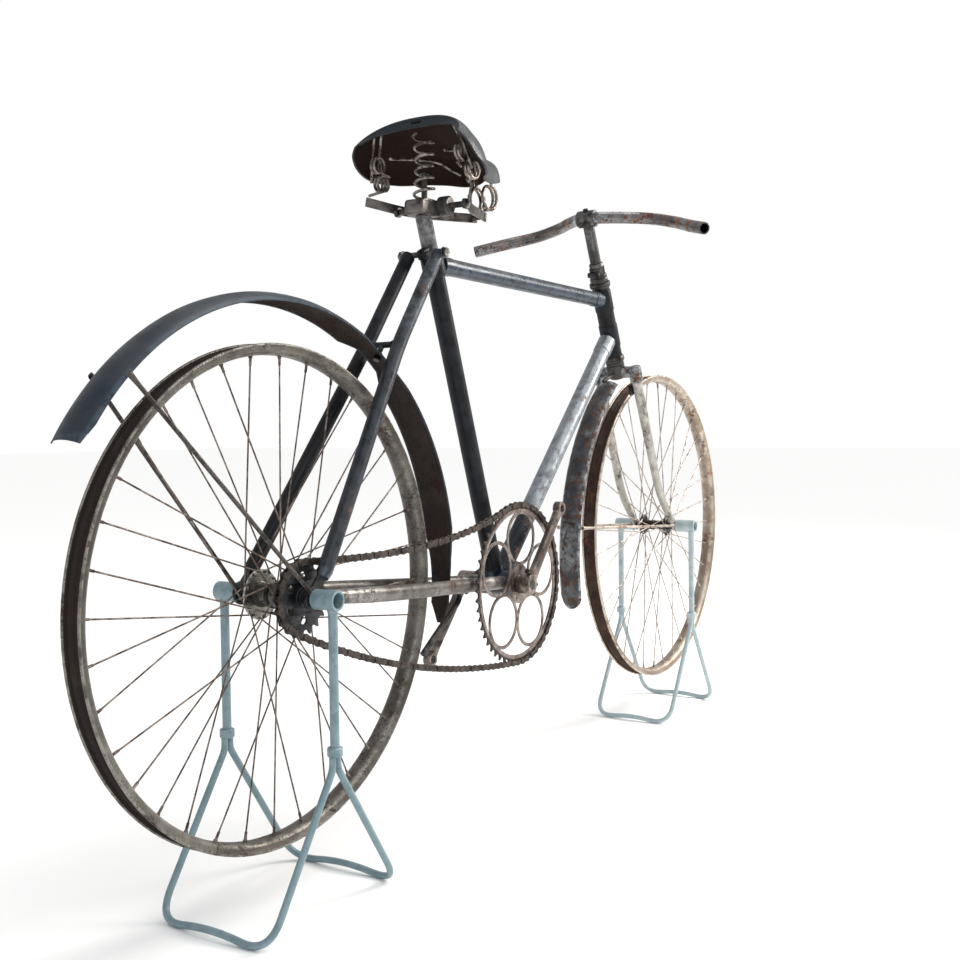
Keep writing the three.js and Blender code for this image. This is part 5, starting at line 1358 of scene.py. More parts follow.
# The left stay, on the far side, gets the darker finish: painted shade
SEAT_STAY_LIT_AND_SHADED = {"right": "stay_paint", "left": "dark_tube"}
SEAT_STAY_RADIUS = 0.0104
for name, side in SIDES:
    stay = Form()
    corners = [place(0.03, side * DROPOUT_Y, -0.002), place(0.1802, side * 0.054, -0.016),
               place(0.4109, side * 0.027, -0.035), place(0.5265, side * 0.0228, -0.0432)]
    route = bent(corners, 0.06, 10)
    size = []
    for point in route:
        near = min(1.0, (point - route[0]).length / 0.045)
        size.append((0.0058 + 0.0032 * near, 0.0092 + 0.0018 * near))
    sweep(stay, route, size, 32)
    dress(f"chain_stay_{name}", stay, ("worn_stay",), "frame", "frame_paint")
    seat_stay = Form()
    lower = STAY_DIRECTION * 0.03
    foot = place(lower.x, side * 0.0622, lower.z)
    elbow = place(STAY_KINK[0], side * 0.029, STAY_KINK[1])
    top = place(0.3394, side * 0.0271, 0.4737)
    route = bent([foot, foot.lerp(elbow, 0.05), elbow, top], 0.03, 8)
    sweep(seat_stay, route, rounds(0.0078, *[SEAT_STAY_RADIUS] * (len(route) - 1)), 32)
    eye_start = route[-1] - (route[-1] - route[-2]).normalized() * 0.004
    sweep(seat_stay, [eye_start, route[-1], binder + LEFT * side * 0.027],
          [(0.0104, 0.0104), (0.0106, 0.011), (0.0092, 0.0098)], 32)
    nut_seat = binder + LEFT * (side * 0.037)
    chamfered_ring(seat_stay, nut_seat, 0.0048, 0.0084, -0.0009, 0.0009, 1)
    hexagon_nut(seat_stay, nut_seat + LEFT * (side * 0.0009), LEFT * side, 0.0135, 0.0056, finish=1)
    dress(f"seat_stay_{name}", seat_stay, (SEAT_STAY_LIT_AND_SHADED[name], "stem_steel"), "frame",
          "frame_paint")

# %% [markdown]
# A dropout is a flat plate round the axle with an arm for each stay. Its outline is part of a
# circle and two round-ended arms, with one more corner between them to fill the hollow.

# %% Dropouts
DROPOUT_ARM = 0.044
for name, side in SIDES:
    aim = math.atan2(STAY_DIRECTION.z, STAY_DIRECTION.x)
    outline = []
    for k in range(25):
        angle = aim + 0.7 + (2 * math.pi - 1.4 - aim) * k / 24
        outline.append((0.016 * math.cos(angle), 0.016 * math.sin(angle)))
    for angle, half in ((-0.06, 0.0068), (aim, 0.006)):
        ends = []
        for t in range(-4, 5):
            bend = t / 4 * math.pi / 2
            reach = DROPOUT_ARM - 0.004 + 0.004 * math.cos(bend)
            across = half * math.sin(bend)
            ends.append((reach * math.cos(angle) - across * math.sin(angle),
                         reach * math.sin(angle) + across * math.cos(angle)))
        outline += ends
        if half > 0.0065:
            outline.append((0.0175, 0.0125))
    dropout = Form()
    plate(dropout, [outline, circle_outline(AXLE_HOLE)], 0.005,
          REAR_AXLE + LEFT * (side * DROPOUT_Y), 0.0006)
    chamfered_ring(dropout, REAR_AXLE + LEFT * (side * 0.0628), AXLE_HOLE, 0.0098, -0.0005, 0.0005)
    dress(f"rear_dropout_{name}", dropout, ("greasy_steel",), "frame", "greasy_steel")

# %% [markdown]
# Two short bridges hold the stays apart and carry the mudguard's bolts. The lower one also has the
# plate of a prop stand whose legs are gone: only a bent stub of it is left. Each is a short rod
# with a bolt that points at the axle, so we work out that direction once and hang bolt and nut on
# it.

# %% Bridges
GUARD_BOLT_REACH = 0.3886
upper_bridge = Form()
kink = place(STAY_KINK[0], 0, STAY_KINK[1])
to_axle = (REAR_AXLE - kink).normalized()
bridge_line = [kink + LEFT * y for y in (-0.0181, -0.0165, 0.0, 0.0165, 0.0181)]
sweep(upper_bridge, bridge_line, rounds(0.0062, 0.0048, 0.0046, 0.0048, 0.0062), 20)
bolt_length = (kink - REAR_AXLE).length - GUARD_BOLT_REACH
threaded(upper_bridge, kink, kink + to_axle * bolt_length, 0.0038, finish=1)
hexagon_nut(upper_bridge, kink + to_axle * (bolt_length - 0.0052), to_axle, 0.0105, 0.005, finish=1)
dress("seat_stay_bridge", upper_bridge, ("stay_paint", "nut_black"), "frame", "frame_paint")
lower_bridge = Form()
bridge = place(0.404, 0, -0.03588)
to_axle = (REAR_AXLE - bridge).normalized()
rod(lower_bridge, bridge - LEFT * 0.0174, bridge + LEFT * 0.0174, 0.006, 24)
bolt_length = (bridge - REAR_AXLE).length - GUARD_BOLT_REACH
threaded(lower_bridge, bridge, bridge + to_axle * bolt_length, 0.0038, finish=1)
stub_plate = [bridge + Vector((0.0004, 0, 0)), bridge + Vector((0.034, 0, 0))]
sweep(lower_bridge, stub_plate, [(0.011, 0.0024), (0.011, 0.0024)], section=rounded_section(6, 28))
stub = bent([bridge + Vector(p) for p in ((0.027, 0, 0), (0.027, 0, -0.026), (-0.024, 0, -0.06),
                                          (-0.077, 0, -0.096))], 0.01, 8)
sweep(lower_bridge, stub, 0.0049, 20, 1)
hexagon_nut(lower_bridge, bridge + Vector((0.027, 0, -0.0092)), UP, 0.015, 0.006, finish=1)
dress("chain_stay_bridge", lower_bridge, ("stay_paint", "nut_black"), "frame", "frame_paint")


# %% [markdown]
# ## Fork, steering head and handlebar
#
# The fork turns with the stem and the bar, so these pieces ride on the fork's body. The crown is a
# short cross piece with two sockets. The blades taper and curve forwards to flattened ends at the
# axle.

# %% Fork crown
CROWN_MIDDLE = 0.373
BLADE_SPREAD = 0.04
crown = Form()
crown_path = [on_steering(CROWN_MIDDLE, y) for y in (-0.04, -0.028, 0.0, 0.028, 0.04)]
sweep(crown, crown_path, [(0.01, 0.0108), (0.0104, 0.011), (0.011, 0.0118), (0.0104, 0.011),
                          (0.01, 0.0108)], section=rounded_section(2.6), side=STEER_FORWARD)
for side in (-1, 1):
    turned(crown, [(0.0098, 0.352), (0.0126, 0.352), (0.013, 0.3528), (0.013, 0.38),
                   (0.0122, 0.3826), (0.0085, 0.3838), (ON_AXIS, 0.384)],
           STEER_FOOT + LEFT * side * BLADE_SPREAD, STEER, 40)
turned(crown, [(0.01, 0.362), (0.015, 0.362), (0.0178, 0.366), (0.018, 0.39), (0.0174, 0.3905),
               (0.0174, 0.3915), (0.018, 0.392), (0.018, 0.3972), (0.01, 0.3972)], STEER_FOOT,
       STEER, 48, 1)
turned(crown, [(ON_AXIS, 0.364), (0.0126, 0.364), (0.0126, 0.5915), (0.012, 0.592),
               (ON_AXIS, 0.592)], STEER_FOOT, STEER, 32, 1)
guard_tab = wheel_point(FRONT_AXLE, math.radians(130), 0.395, 0)
rod(crown, on_steering(CROWN_MIDDLE), guard_tab, 0.0034, 16, 1)
dress("fork_crown", crown, ("front_guard_paint", "nut_black"), "fork", "frame_paint")

# %% [markdown]
# A fork blade is oval and tapers. It runs straight down and bends forwards near its end, which
# gives the steering its trail. One sweep follows that line, its width and depth worked out from the
# distance run, and a drilled plate closes it at the axle.

# %% Fork blades
for name, side in SIDES:
    blade = Form()
    route = bent([on_steering(0.3517, side * BLADE_SPREAD), on_steering(0.093, side * 0.0435),
                  FRONT_AXLE + Vector((-0.006, side * 0.045, 0.004))], 0.07, 20)
    lengths = [0.0]
    for a, b in zip(route, route[1:]):
        lengths.append(lengths[-1] + (b - a).length)
    size = []
    for run in lengths:
        share = run / lengths[-1]
        squash = max(0.0, (share - 0.93) / 0.07)
        size.append((0.0095 + (0.0065 - 0.0095) * share - 0.004 * squash,
                     0.0125 + (0.0075 - 0.0125) * share + 0.003 * squash))
    sweep(blade, route, size, 32)
    plate(blade, [circle_outline(0.012, steps=40), circle_outline(AXLE_HOLE, steps=32)], 0.005,
          FRONT_AXLE + LEFT * (side * 0.045), 0.0006)
    # The blades' pale finish is a painted highlight
    dress(f"fork_blade_{name}", blade, ("fork_highlight_paint",), "fork", "frame_paint")

# %% [markdown]
# A wired brake once sat at the top of the front mudguard. Its broken bracket is still held behind
# the right blade: a small block with a bolt. A short sweep with square sections gives the block
# soft ends, which a plain box wouldn't have.

# %% Broken bracket
bracket = Form()
bracket_centre = on_steering(0.336, -0.0262) + STEER_FORWARD * -0.002
sweep(bracket, [bracket_centre - STEER * 0.011, bracket_centre - STEER * 0.009,
                bracket_centre + STEER * 0.009, bracket_centre + STEER * 0.011],
      [(0.0034, 0.0062), (0.0044, 0.0074), (0.0044, 0.0074), (0.0034, 0.0062)],
      section=rounded_section(4, 24))
rod(bracket, bracket_centre + LEFT * 0.003, on_steering(0.336, -0.0325), 0.003, 16)
make_piece("broken_bracket", bracket, ("nut_black",), "fork", "greasy_steel")

# %% [markdown]
# The locknut holds the steering's upper bearing and is pinched round the stem by a bolt behind. Its
# skirt is an octagon, so the same turning function draws it with eight steps instead of forty.

# %% Headset locknut
locknut = Form()
turned(locknut, [(0.0131, 0.5624), (0.0172, 0.5624), (0.018, 0.5634), (0.018, 0.572),
                 (0.0172, 0.573), (0.0157, 0.5732), (0.0157, 0.5912), (0.015, 0.592),
                 (0.0131, 0.592)], STEER_FOOT, STEER, 8)
turned(locknut, [(0.0131, 0.5735), (0.016, 0.5735), (0.0164, 0.5745), (0.0164, 0.577),
                 (0.016, 0.578), (0.0131, 0.578)], STEER_FOOT, STEER, 40)
pinch = on_steering(0.582) - STEER_FORWARD * 0.017
rod(locknut, pinch - LEFT * 0.0118, pinch + LEFT * 0.01, 0.004, 20)
hexagon_nut(locknut, pinch + LEFT * 0.007, LEFT, 0.0098, 0.0048)
sweep(locknut, [pinch - LEFT * 0.0072, pinch + LEFT * 0.0066], [(0.0046, 0.005)] * 2,
      section=rounded_section(4, 20), side=STEER)
dress("headset_locknut", locknut, ("nut_black",), "fork", "greasy_steel")


# %% [markdown]
# The handlebar is one bent tube with open ends: its grips are gone. A single swept outline, carried
# in at each end and back inside, gives the wall that shows there. A little way in, a disc closes
# the bore; bore and disc are near black, as painted shade for the hollow bar's inside. The stem's
# clamp grips the bar's middle.

# %% Handlebar
BAR_RADIUS = 0.0111
BAR_BORE = 0.0086
BAR_CENTRE = on_steering(0.688)
BAR_HALF = ((0, 0, 0), (20, 0, 0), (60, 38, 2), (100, 73, 1), (150, 71, -11), (200, 16, -30),
            (243, -18, -44))
half_route = [Vector((x, y, z)) / 1000 for y, x, z in BAR_HALF]
bar_corners = [BAR_CENTRE + Vector((p.x, -p.y, p.z)) for p in half_route[:0:-1]]
bar_corners += [BAR_CENTRE + p for p in half_route]
bar_line = smooth_line(bar_corners, 110)
BAR_END_TRIM = 0.0008
BAR_END_ROUNDING = 0.0004
# How far in a dark disc closes the bore: painted shade for the hollow bar's inside
BAR_SHADE_DISC_DEPTH = 0.034
open_ends = []
for outermost, next_in in ((0, 1), (-1, -2)):
    along = (bar_line[next_in] - bar_line[outermost]).normalized()
    bar_line[outermost] = bar_line[outermost] + along * BAR_END_TRIM
    open_ends.append((bar_line[outermost], along))
handlebar = Form()
sweep(handlebar, bar_line, BAR_RADIUS, 32, 0)
handlebar.faces[-2:], handlebar.finishes[-2:] = [], []
for end, along in open_ends:
    turned(handlebar, [(BAR_RADIUS, 0.0), (BAR_RADIUS - 0.0005, -BAR_END_ROUNDING),
                       (BAR_BORE + 0.0005, -BAR_END_ROUNDING), (BAR_BORE, 0.0)], end, along, 32, 0,
           closed=False)
    turned(handlebar, [(BAR_BORE, 0.0), (BAR_BORE, BAR_SHADE_DISC_DEPTH), (ON_AXIS, BAR_SHADE_DISC_DEPTH)], end,
           along, 32, 1, closed=False)
dress("handlebar", handlebar, ("bar_nickel", "bore_painted_shade"), "fork", "worn_nickel")

# %% [markdown]
# The stem's post stands in the steerer and ends in a round clamp across it. Both are turned, each
# about its own axis, and the clamp's pinched foot is a short square bar with soft corners.

# %% Stem
stem = Form()
turned(stem, [(ON_AXIS, 0.5924), (0.0128, 0.5924), (0.0136, 0.5932), (0.0136, 0.599),
              (0.0128, 0.6003), (0.0106, 0.6006), (0.0106, 0.686), (ON_AXIS, 0.6862)], STEER_FOOT,
       STEER, 40)
turned(stem, [(0.0113, -0.018), (0.015, -0.018), (0.0161, -0.0168), (0.0161, 0.0168),
              (0.015, 0.018), (0.0113, 0.018)], BAR_CENTRE, steps=40)
clamp_foot = BAR_CENTRE - STEER * 0.007 - STEER_FORWARD * 0.0158
sweep(stem, [clamp_foot - LEFT * 0.009, clamp_foot + LEFT * 0.009], [(0.005, 0.0056)] * 2,
      section=rounded_section(4, 20), side=STEER)
turned(stem, [(ON_AXIS, 0.0162), (0.005, 0.0162), (0.005, 0.0192), (0.0042, 0.02), (ON_AXIS, 0.02)],
       BAR_CENTRE, STEER, 24, 1)
dress("handlebar_stem", stem, ("stem_steel", "nut_black"), "fork", "bare_steel")


# %% [markdown]
# ## Mudguards
#
# A mudguard is a long strip pressed to a crown and rolled at its edges. It follows the wheel, but
# it was pinched where it passes between the stays, and years of knocks have left dents. We loft it
# from rows of angle, ridge radius, half width and crown, with a skin thick enough to have an inside
# of its own finish.

# %% Mudguard strip
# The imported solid's sheet in metres, and the share of it that the finished sheet has
GUARD_SKIN, DRAWN_SHARE = 0.0016, 0.7
GUARD_ACROSS = 18
GUARD_STEP = 1.3
EDGE_ROLL_RADIUS = 0.00105
GUARD_CROWN_POWER = 2.2
# Rows: angle in degrees, then ridge radius, half width and crown in millimetres
KINK = math.degrees(math.atan2(STAY_KINK[1], STAY_KINK[0]))
REAR_GUARD_ROWS = (
    (148.0, 388, 24, 8), (144.0, 388, 28, 11), (KINK + 9, 388, 28, 11), (KINK + 4, 388, 17.4, 5),
    (KINK, 388, 17.4, 5), (KINK - 4, 388, 17.4, 5), (KINK - 9, 388, 27, 11), (9.0, 388, 27, 10),
    (1.5, 388, 20, 8), (-5.1, 388, 17, 7), (-9.0, 388, 17, 7), (-13.5, 388, 6, 2),
)
FRONT_GUARD_ROWS = (
    (128.0, 386, 22, 9), (146.0, 392.8, 22, 9), (172.0, 405.7, 22, 9), (194.6, 420, 22, 9),
    (195.6, 420, 21.2, 9), (196.6, 420, 18.4, 7.5), (197.4, 420, 13.5, 5), (197.9, 420, 7, 2),
)


def guard_rows(rows, step):
    """The given rows with others between them, eased so that the strip has no creases."""
    made = []
    for (a0, *first), (a1, *last) in zip(rows, rows[1:]):
        count = max(1, math.ceil(abs(a1 - a0) / step))
        for i in range(count):
            t = i / count
            made.append([a0 + (a1 - a0) * t] + [p + (q - p) * t for p, q in zip(first, last)])
    return made + [list(rows[-1])]


def two_skins(form, outer, inner, finishes):
    """An outer and an inner sheet of rows with a rim all round, and a finish for each."""
    count = len(outer[0])
    for rows, finish in ((outer, finishes[0]), (inner, finishes[1])):
        faces = [[r * count + i, r * count + i + 1, (r + 1) * count + i + 1, (r + 1) * count + i]
                 for r in range(len(rows) - 1) for i in range(count - 1)]
        form.add([p for row in rows for p in row], faces, finish)
    rim_pairs = [(a[0], b[0]) for a, b in zip(outer, inner)]
    rim_pairs += list(zip(outer[-1][1:], inner[-1][1:]))
    rim_pairs += [(a[-1], b[-1]) for a, b in zip(outer[-2::-1], inner[-2::-1])]
    rim_pairs += list(zip(outer[0][-2:0:-1], inner[0][-2:0:-1]))
    n = len(rim_pairs)
    faces = [[2 * i, 2 * i + 1, 2 * ((i + 1) % n) + 1, 2 * ((i + 1) % n)] for i in range(n)]
    form.add([p for pair in rim_pairs for p in pair], faces, finishes[2])


def guard_strip(form, centre, rows, seed, outside=0, inside=1):
    """Lofts the strip; seed turns its dents, outside and inside are finish numbers."""
    outer, inner = [], []
    for angle, ridge, half, crown_rise in guard_rows(rows, GUARD_STEP):
        turn_to = math.radians(angle)
        wobble = 0.35 * math.sin(seed + angle * 0.21) + 0.25 * math.sin(seed * 2 + angle * 0.57)
        rows_out, rows_in = [], []
        for i in range(GUARD_ACROSS + 1):
            across = -1 + 2 * i / GUARD_ACROSS
            dent = 0.5 * math.sin(seed + angle * 0.33 + across * 2.1) * (1 - across**4)
            radius = ridge - 0.45 - crown_rise * abs(across) ** GUARD_CROWN_POWER + 0.3 * dent
            reach = (half - 0.45) * across + 0.3 * wobble * (1 - abs(across))
            for rows_made, skin in ((rows_out, 0.0), (rows_in, GUARD_SKIN * 1000 * DRAWN_SHARE)):
                r = (radius - skin) / 1000
                y = (reach - math.copysign(skin * abs(across) ** 3, across)) / 1000
                rows_made.append(wheel_point(centre, turn_to, r, y))
        outer.append(rows_out)
        inner.append(rows_in)
    two_skins(form, outer, inner, (outside, inside, inside))
    for edge in (0, -1):
        line = [(a[edge] + b[edge]) / 2 for a, b in zip(outer, inner)]
        nudge = LEFT * (0.0006 if edge == 0 else -0.0006)
        sweep(form, [p + nudge for p in line[2:-4]], EDGE_ROLL_RADIUS, 8, outside)


def round_head(form, centre, along, radius, rise, finish):
    """The low domed head of a bolt or rivet."""
    profile = [(ON_AXIS, rise)] + [(radius * math.sin(math.radians(a)),
                                    rise * math.cos(math.radians(a))) for a in (30, 60, 85)]
    turned(form, profile + [(radius, -0.0004), (ON_AXIS, -0.0004)], centre, along, 20, finish)


rear_guard = Form()
guard_strip(rear_guard, REAR_AXLE, REAR_GUARD_ROWS, 1.3)
for angle in (KINK, -5.1):
    turn_to = math.radians(angle)
    inwards = Vector((-math.cos(turn_to), 0, -math.sin(turn_to)))
    seat = wheel_point(REAR_AXLE, turn_to, 0.3852, 0)
    hexagon_nut(rear_guard, seat, inwards, 0.01, 0.0044, finish=2)
dress("rear_mudguard", rear_guard, ("guard_outside", "guard_inside", "nut_black"), "frame",
      "guard_paint")
front_guard = Form()
guard_strip(front_guard, FRONT_AXLE, FRONT_GUARD_ROWS, 4.1)
dress("front_mudguard", front_guard, ("front_guard_paint", "guard_inside"), "fork", "guard_paint")


# %% [markdown]
# The mudguards' stays are thin rods. Each is bent flat into an eye at the axle and hammered into a
# small tab at the mudguard's edge, where a bolt goes through.

# %% Mudguard stays
EYE_RADIUS_STAY = 0.0085


def guard_stay(name, centre, side, angle, edge_radius, edge_y, eye_y, body, finish):
    form = Form()
    end = wheel_point(centre, math.radians(angle), edge_radius, side * edge_y)
    eye = centre + LEFT * (side * eye_y)
    towards = Vector(((end - eye).x, 0, (end - eye).z)).normalized()
    start = eye + towards * 0.0078
    bend = eye + towards * 0.018 - LEFT * (side * 0.0006)
    tip = end + (end - eye).normalized() * 0.004
    line = [start, bend, end - (end - bend).normalized() * 0.016, end, tip]
    sweep(form, line, [(0.001, 0.0046), (0.0027, 0.0027), (0.0027, 0.0027), (0.0014, 0.0042),
                       (0.0012, 0.0034)], 20)
    plate(form, [circle_outline(EYE_RADIUS_STAY, steps=40), circle_outline(AXLE_HOLE, steps=32)],
          0.0018, eye, 0.0004)
    round_head(form, end + LEFT * (side * 0.0012), LEFT * side, 0.0036, 0.0016, 1)
    dress(name, form, (finish, "nut_black"), body, "rusty_steel")


for name, side in SIDES:
    guard_stay(f"rear_mudguard_stay_{name}", REAR_AXLE, side, 133.5, 0.377, 0.0311, 0.0638, "frame",
               "stay_rod")
    # The front stays share the front spokes' lighter finish, a painted highlight
    guard_stay(f"front_mudguard_stay_{name}", FRONT_AXLE, side, 176.5, 0.3994, 0.0251, 0.0488,
               "fork", "front_spoke_highlight_wire")


# %% [markdown]
# ## The saddle
#
# The top is thick hide on a steel rim: wide and blunt behind, narrow and low at the nose. Its lower
# edge dips at the sides. Behind, the rolled cantle carries a short slot for a bag strap. The same
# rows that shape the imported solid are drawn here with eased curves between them.

# %% Saddle top
POST_TOP = on_seat_tube(0.64)
# Rows in millimetres: place of the edge, bow at the middle, half width, ridge and edge heights
SADDLE_ROWS = (
    (-38, 30, 94, 121, 84), (-30, 26, 105, 122, 70), (-10, 22, 109, 119, 52),
    (20, 12, 105, 112, 42), (60, 4, 84, 104, 40), (95, 0, 58, 98, 44), (130, 0, 38, 96, 47),
    (170, 0, 28, 95, 50), (200, 0, 22, 92, 58), (212, 0, 10, 84, 72),
)
SADDLE_SKIN = 4.0
SADDLE_INSET = 0.3
SADDLE_ACROSS = 48
SADDLE_ROUNDNESS = 1.15
SADDLE_STEPS = 60
# The eased rows swing out a little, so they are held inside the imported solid
SADDLE_BACK, SADDLE_FRONT = -37.6, 211.6
SADDLE_HALF_MOST, SADDLE_TOP_MOST = 108.6, 121.7


def eased(rows, t):
    """A row between the given ones, on a smooth curve; t runs from 0 to the last row's number."""
    k = min(int(t), len(rows) - 2)
    share = t - k
    before, a = rows[max(k - 1, 0)], rows[k]
    b, after = rows[k + 1], rows[min(k + 2, len(rows) - 1)]
    share2, share3 = share**2, share**3
    return [0.5 * (2 * q + (r - p) * share + (2 * p - 5 * q + 4 * r - s) * share2
                   + (3 * q - p - 3 * r + s) * share3)
            for p, q, r, s in zip(before, a, b, after)]


def saddle_point(row, angle, skin):
    """A point of the hide: angle goes round from edge to edge, skin is the depth below the top."""
    edge_place, bow, half, ridge, edge = row
    s, c = math.sin(angle), max(math.cos(angle), 0.0)
    across = math.copysign(abs(s) ** 0.8, s)
    rise = edge + (ridge - skin - edge) * c**SADDLE_ROUNDNESS
    return POST_TOP + Vector((edge_place + bow * c, (half - skin) * across, rise)) / 1000


def from_post(x, y, z):
    """A place in millimetres from the top of the seat post."""
    return POST_TOP + Vector((x, y, z)) / 1000


hide = Form()
angles = [-math.pi / 2 + math.pi * k / SADDLE_ACROSS for k in range(SADDLE_ACROSS + 1)]
outer_rows, inner_rows = [], []
for i in range(SADDLE_STEPS + 1):
    row = eased(SADDLE_ROWS, (len(SADDLE_ROWS) - 1) * i / SADDLE_STEPS)
    row[0] = min(max(row[0], SADDLE_BACK), SADDLE_FRONT)
    row[2], row[3] = min(row[2], SADDLE_HALF_MOST), min(row[3], SADDLE_TOP_MOST)
    outer_rows.append([saddle_point(row, a, SADDLE_INSET) for a in angles])
    inner_rows.append([saddle_point(row, a, SADDLE_SKIN) for a in angles])
two_skins(hide, outer_rows, inner_rows, (0, 1, 0))

# %% [markdown]
# Behind, the hide is folded down over a steel band, the cantle. We draw the band as a thin sheet
# over angle and depth, leave out the cells of the slot, and let bmesh give the sheet its thickness,
# so that the slot is a real hole with walls.

# %% Cantle band
CANTLE_DEPTH = 15.0
CANTLE_THICKNESS = 0.0024
SLOT_ANGLE = 3.4
SLOT_DEPTHS = (5.0, 9.5)


def cantle_sheet(form, finish):
    half_angles = [SLOT_ANGLE * k / 2 for k in range(3)] + [6 + 4.2 * k for k in range(19)]
    angles = [math.radians(a) for a in [-h for h in half_angles[:0:-1]] + half_angles]
    depths = [0.6, 2.0, SLOT_DEPTHS[0], SLOT_DEPTHS[1], 12.0, CANTLE_DEPTH]
    sheet = bmesh.new()
    rows = []
    for depth in depths:
        row = []
        for angle in angles:
            reach = 0.6 + (depth - 0.6) * (0.3 + 0.7 * math.cos(angle))
            lean = Vector((0.0012 - 0.00012 * depth, 0, 0))
            row.append(sheet.verts.new(saddle_point(SADDLE_ROWS[0], angle, reach) + lean))
        rows.append(row)
    for r in range(len(depths) - 1):
        for k in range(len(angles) - 1):
            middle = math.degrees(angles[k] + angles[k + 1]) / 2
            if depths[r] == SLOT_DEPTHS[0] and abs(middle) < SLOT_ANGLE:
                continue
            sheet.faces.new((rows[r][k], rows[r][k + 1], rows[r + 1][k + 1], rows[r + 1][k]))
    bmesh.ops.recalc_face_normals(sheet, faces=sheet.faces)
    bmesh.ops.solidify(sheet, geom=sheet.faces[:], thickness=CANTLE_THICKNESS)
    sheet.verts.index_update()
    form.add([v.co.copy() for v in sheet.verts], [[v.index for v in f.verts] for f in sheet.faces],
             finish)
    sheet.free()


cantle_sheet(hide, 0)
# The hide's underside is darkened, partly as painted shade
dress("saddle_top", hide, ("hide_top", "hide_under"), "frame", "saddle_skin")


# %% [markdown]
# Under the hide hangs the ironwork. Two flat bars with a row of holes run from the rear springs to
# the nose, a bolt joins them through the clamp on the post, and wavy wires run lengthwise under the
# hide.

# %% Coils and wires
COIL_STEPS = 20
COIL_SIDES = 12


def coil(form, centre, side, radius, turns, pitch, wire, foot, head):
    """A spring on a sideways axis, from its foot through its turns to its head."""
    line = [foot]
    for i in range(round(turns * COIL_STEPS) + 1):
        angle = -math.pi / 2 + i * 2 * math.pi / COIL_STEPS
        line.append(centre + Vector((radius * math.cos(angle),
                                     side * pitch * (i / COIL_STEPS - turns / 2),
                                     radius * math.sin(angle))))
    line += [line[-1].lerp(head, 0.5), head]
    sweep(form, line, wire, COIL_SIDES)


def wave_wire(form, side, spread, start, end, height, radius):
    """A wire that snakes sideways under the hide."""
    points = []
    for i in range(7):
        t = i / 6
        sway = 8.0 * math.sin(t * math.pi * 2.6) * (1 - 0.4 * t)
        points.append(from_post(start + (end - start) * t, side * (spread * (1 - 0.62 * t) + sway),
                                height + 9 * math.sin(t * math.pi)))
    sweep(form, smooth_line(points, 44), radius, 10)


# %% [markdown]
# The two flat bars are swept with a wide, low section and have eyelets round their holes. A cross
# bolt and the clamp's block hold them together in the middle.

# %% Saddle bars and clamp
iron = Form()
for side in (-1, 1):
    route = bent([from_post(-8, side * 96, 6), from_post(52, side * 52, -8),
                  from_post(174, side * 9, -2)], 0.04, 10)
    sweep(iron, route, [(0.0017, 0.0074)] * len(route), section=rounded_section(6, 28), side=LEFT)
    for share in (0.1, 0.22, 0.34):
        spot = route[0].lerp(route[-1], share)
        near = min(route, key=lambda p: (p - spot).length)
        step = route[min(route.index(near) + 1, len(route) - 1)] - route[route.index(near) - 1]
        outwards = Vector((-step.y, step.x, 0)).normalized() * side
        turned(iron, square_ring(0.0026, 0.004, -0.0021, 0.0021), near, outwards, 20, 1)
cross = from_post(30, 0, -8)
rod(iron, cross - LEFT * 0.068, cross + LEFT * 0.068, 0.0046, 24, 1)
for side in (-1, 1):
    hexagon_nut(iron, cross + LEFT * (side * 0.0592), LEFT * side, 0.0148, 0.007, finish=1)
clamp = from_post(8, 0, -12)
sweep(iron, [clamp + LEFT * y for y in (-0.017, -0.0155, 0.0155, 0.017)],
      [(0.0244, 0.0118), (0.0258, 0.0128), (0.0258, 0.0128), (0.0244, 0.0118)],
      section=rounded_section(4, 40), side=FORWARD)
turned(iron, [(ON_AXIS, -0.0355), (0.0125, -0.0355), (0.015, -0.0335), (0.015, -0.019),
              (0.0125, -0.0175), (ON_AXIS, -0.0175)], cross, LEFT, 32, 1)
turned(iron, square_ring(0.009, 0.011, -0.036, -0.034), cross, LEFT, 32, 0)
nose = from_post(166, 0, -2)
rod(iron, nose - LEFT * 0.0138, nose + LEFT * 0.0138, 0.0046, 20, 1)
dress("saddle_frame", iron, ("saddle_iron", "nut_black"), "frame", "bare_steel")

# %% [markdown]
# Above the bars, two wires and two small coils are all that shows of the inner springs. They have
# no node in the frame, so these pieces replace nothing.

# %% Saddle wires
wires = Form()
for side in (-1, 1):
    wave_wire(wires, side, 50, -6, 150, 66, 0.0022)
    upper = from_post(-4, side * 76, 60)
    hook = saddle_point(SADDLE_ROWS[1], side * 0.62, 6.3)
    coil(wires, upper, side, 0.0115, 2.25, 0.0058, 0.0021,
         upper + Vector((0.018, -side * 0.01, -0.016)), hook)
make_piece("saddle_wires", wires, ("saddle_steel",), "frame", "bare_steel")

# %% [markdown]
# Coil springs carry the hide. Each is one wire: a foot on the flat bar, the turns around a sideways
# axis and an arm up to the hide, so one swept line draws it. A longer spring stands upright over
# the post.

# %% Saddle springs
def upright_coil(form, foot, rise, radii, turns, wire):
    """A compression spring that narrows in the middle."""
    total = round(turns * COIL_STEPS)
    line = []
    for i in range(total + 1):
        share = i / total
        radius = radii[0] + (radii[1] - radii[0]) * math.sin(math.pi * share)
        turn_to = 2 * math.pi * i / COIL_STEPS
        line.append(foot + Vector((radius * math.cos(turn_to), radius * math.sin(turn_to),
                                   rise * share)))
    sweep(form, line, wire, COIL_SIDES)


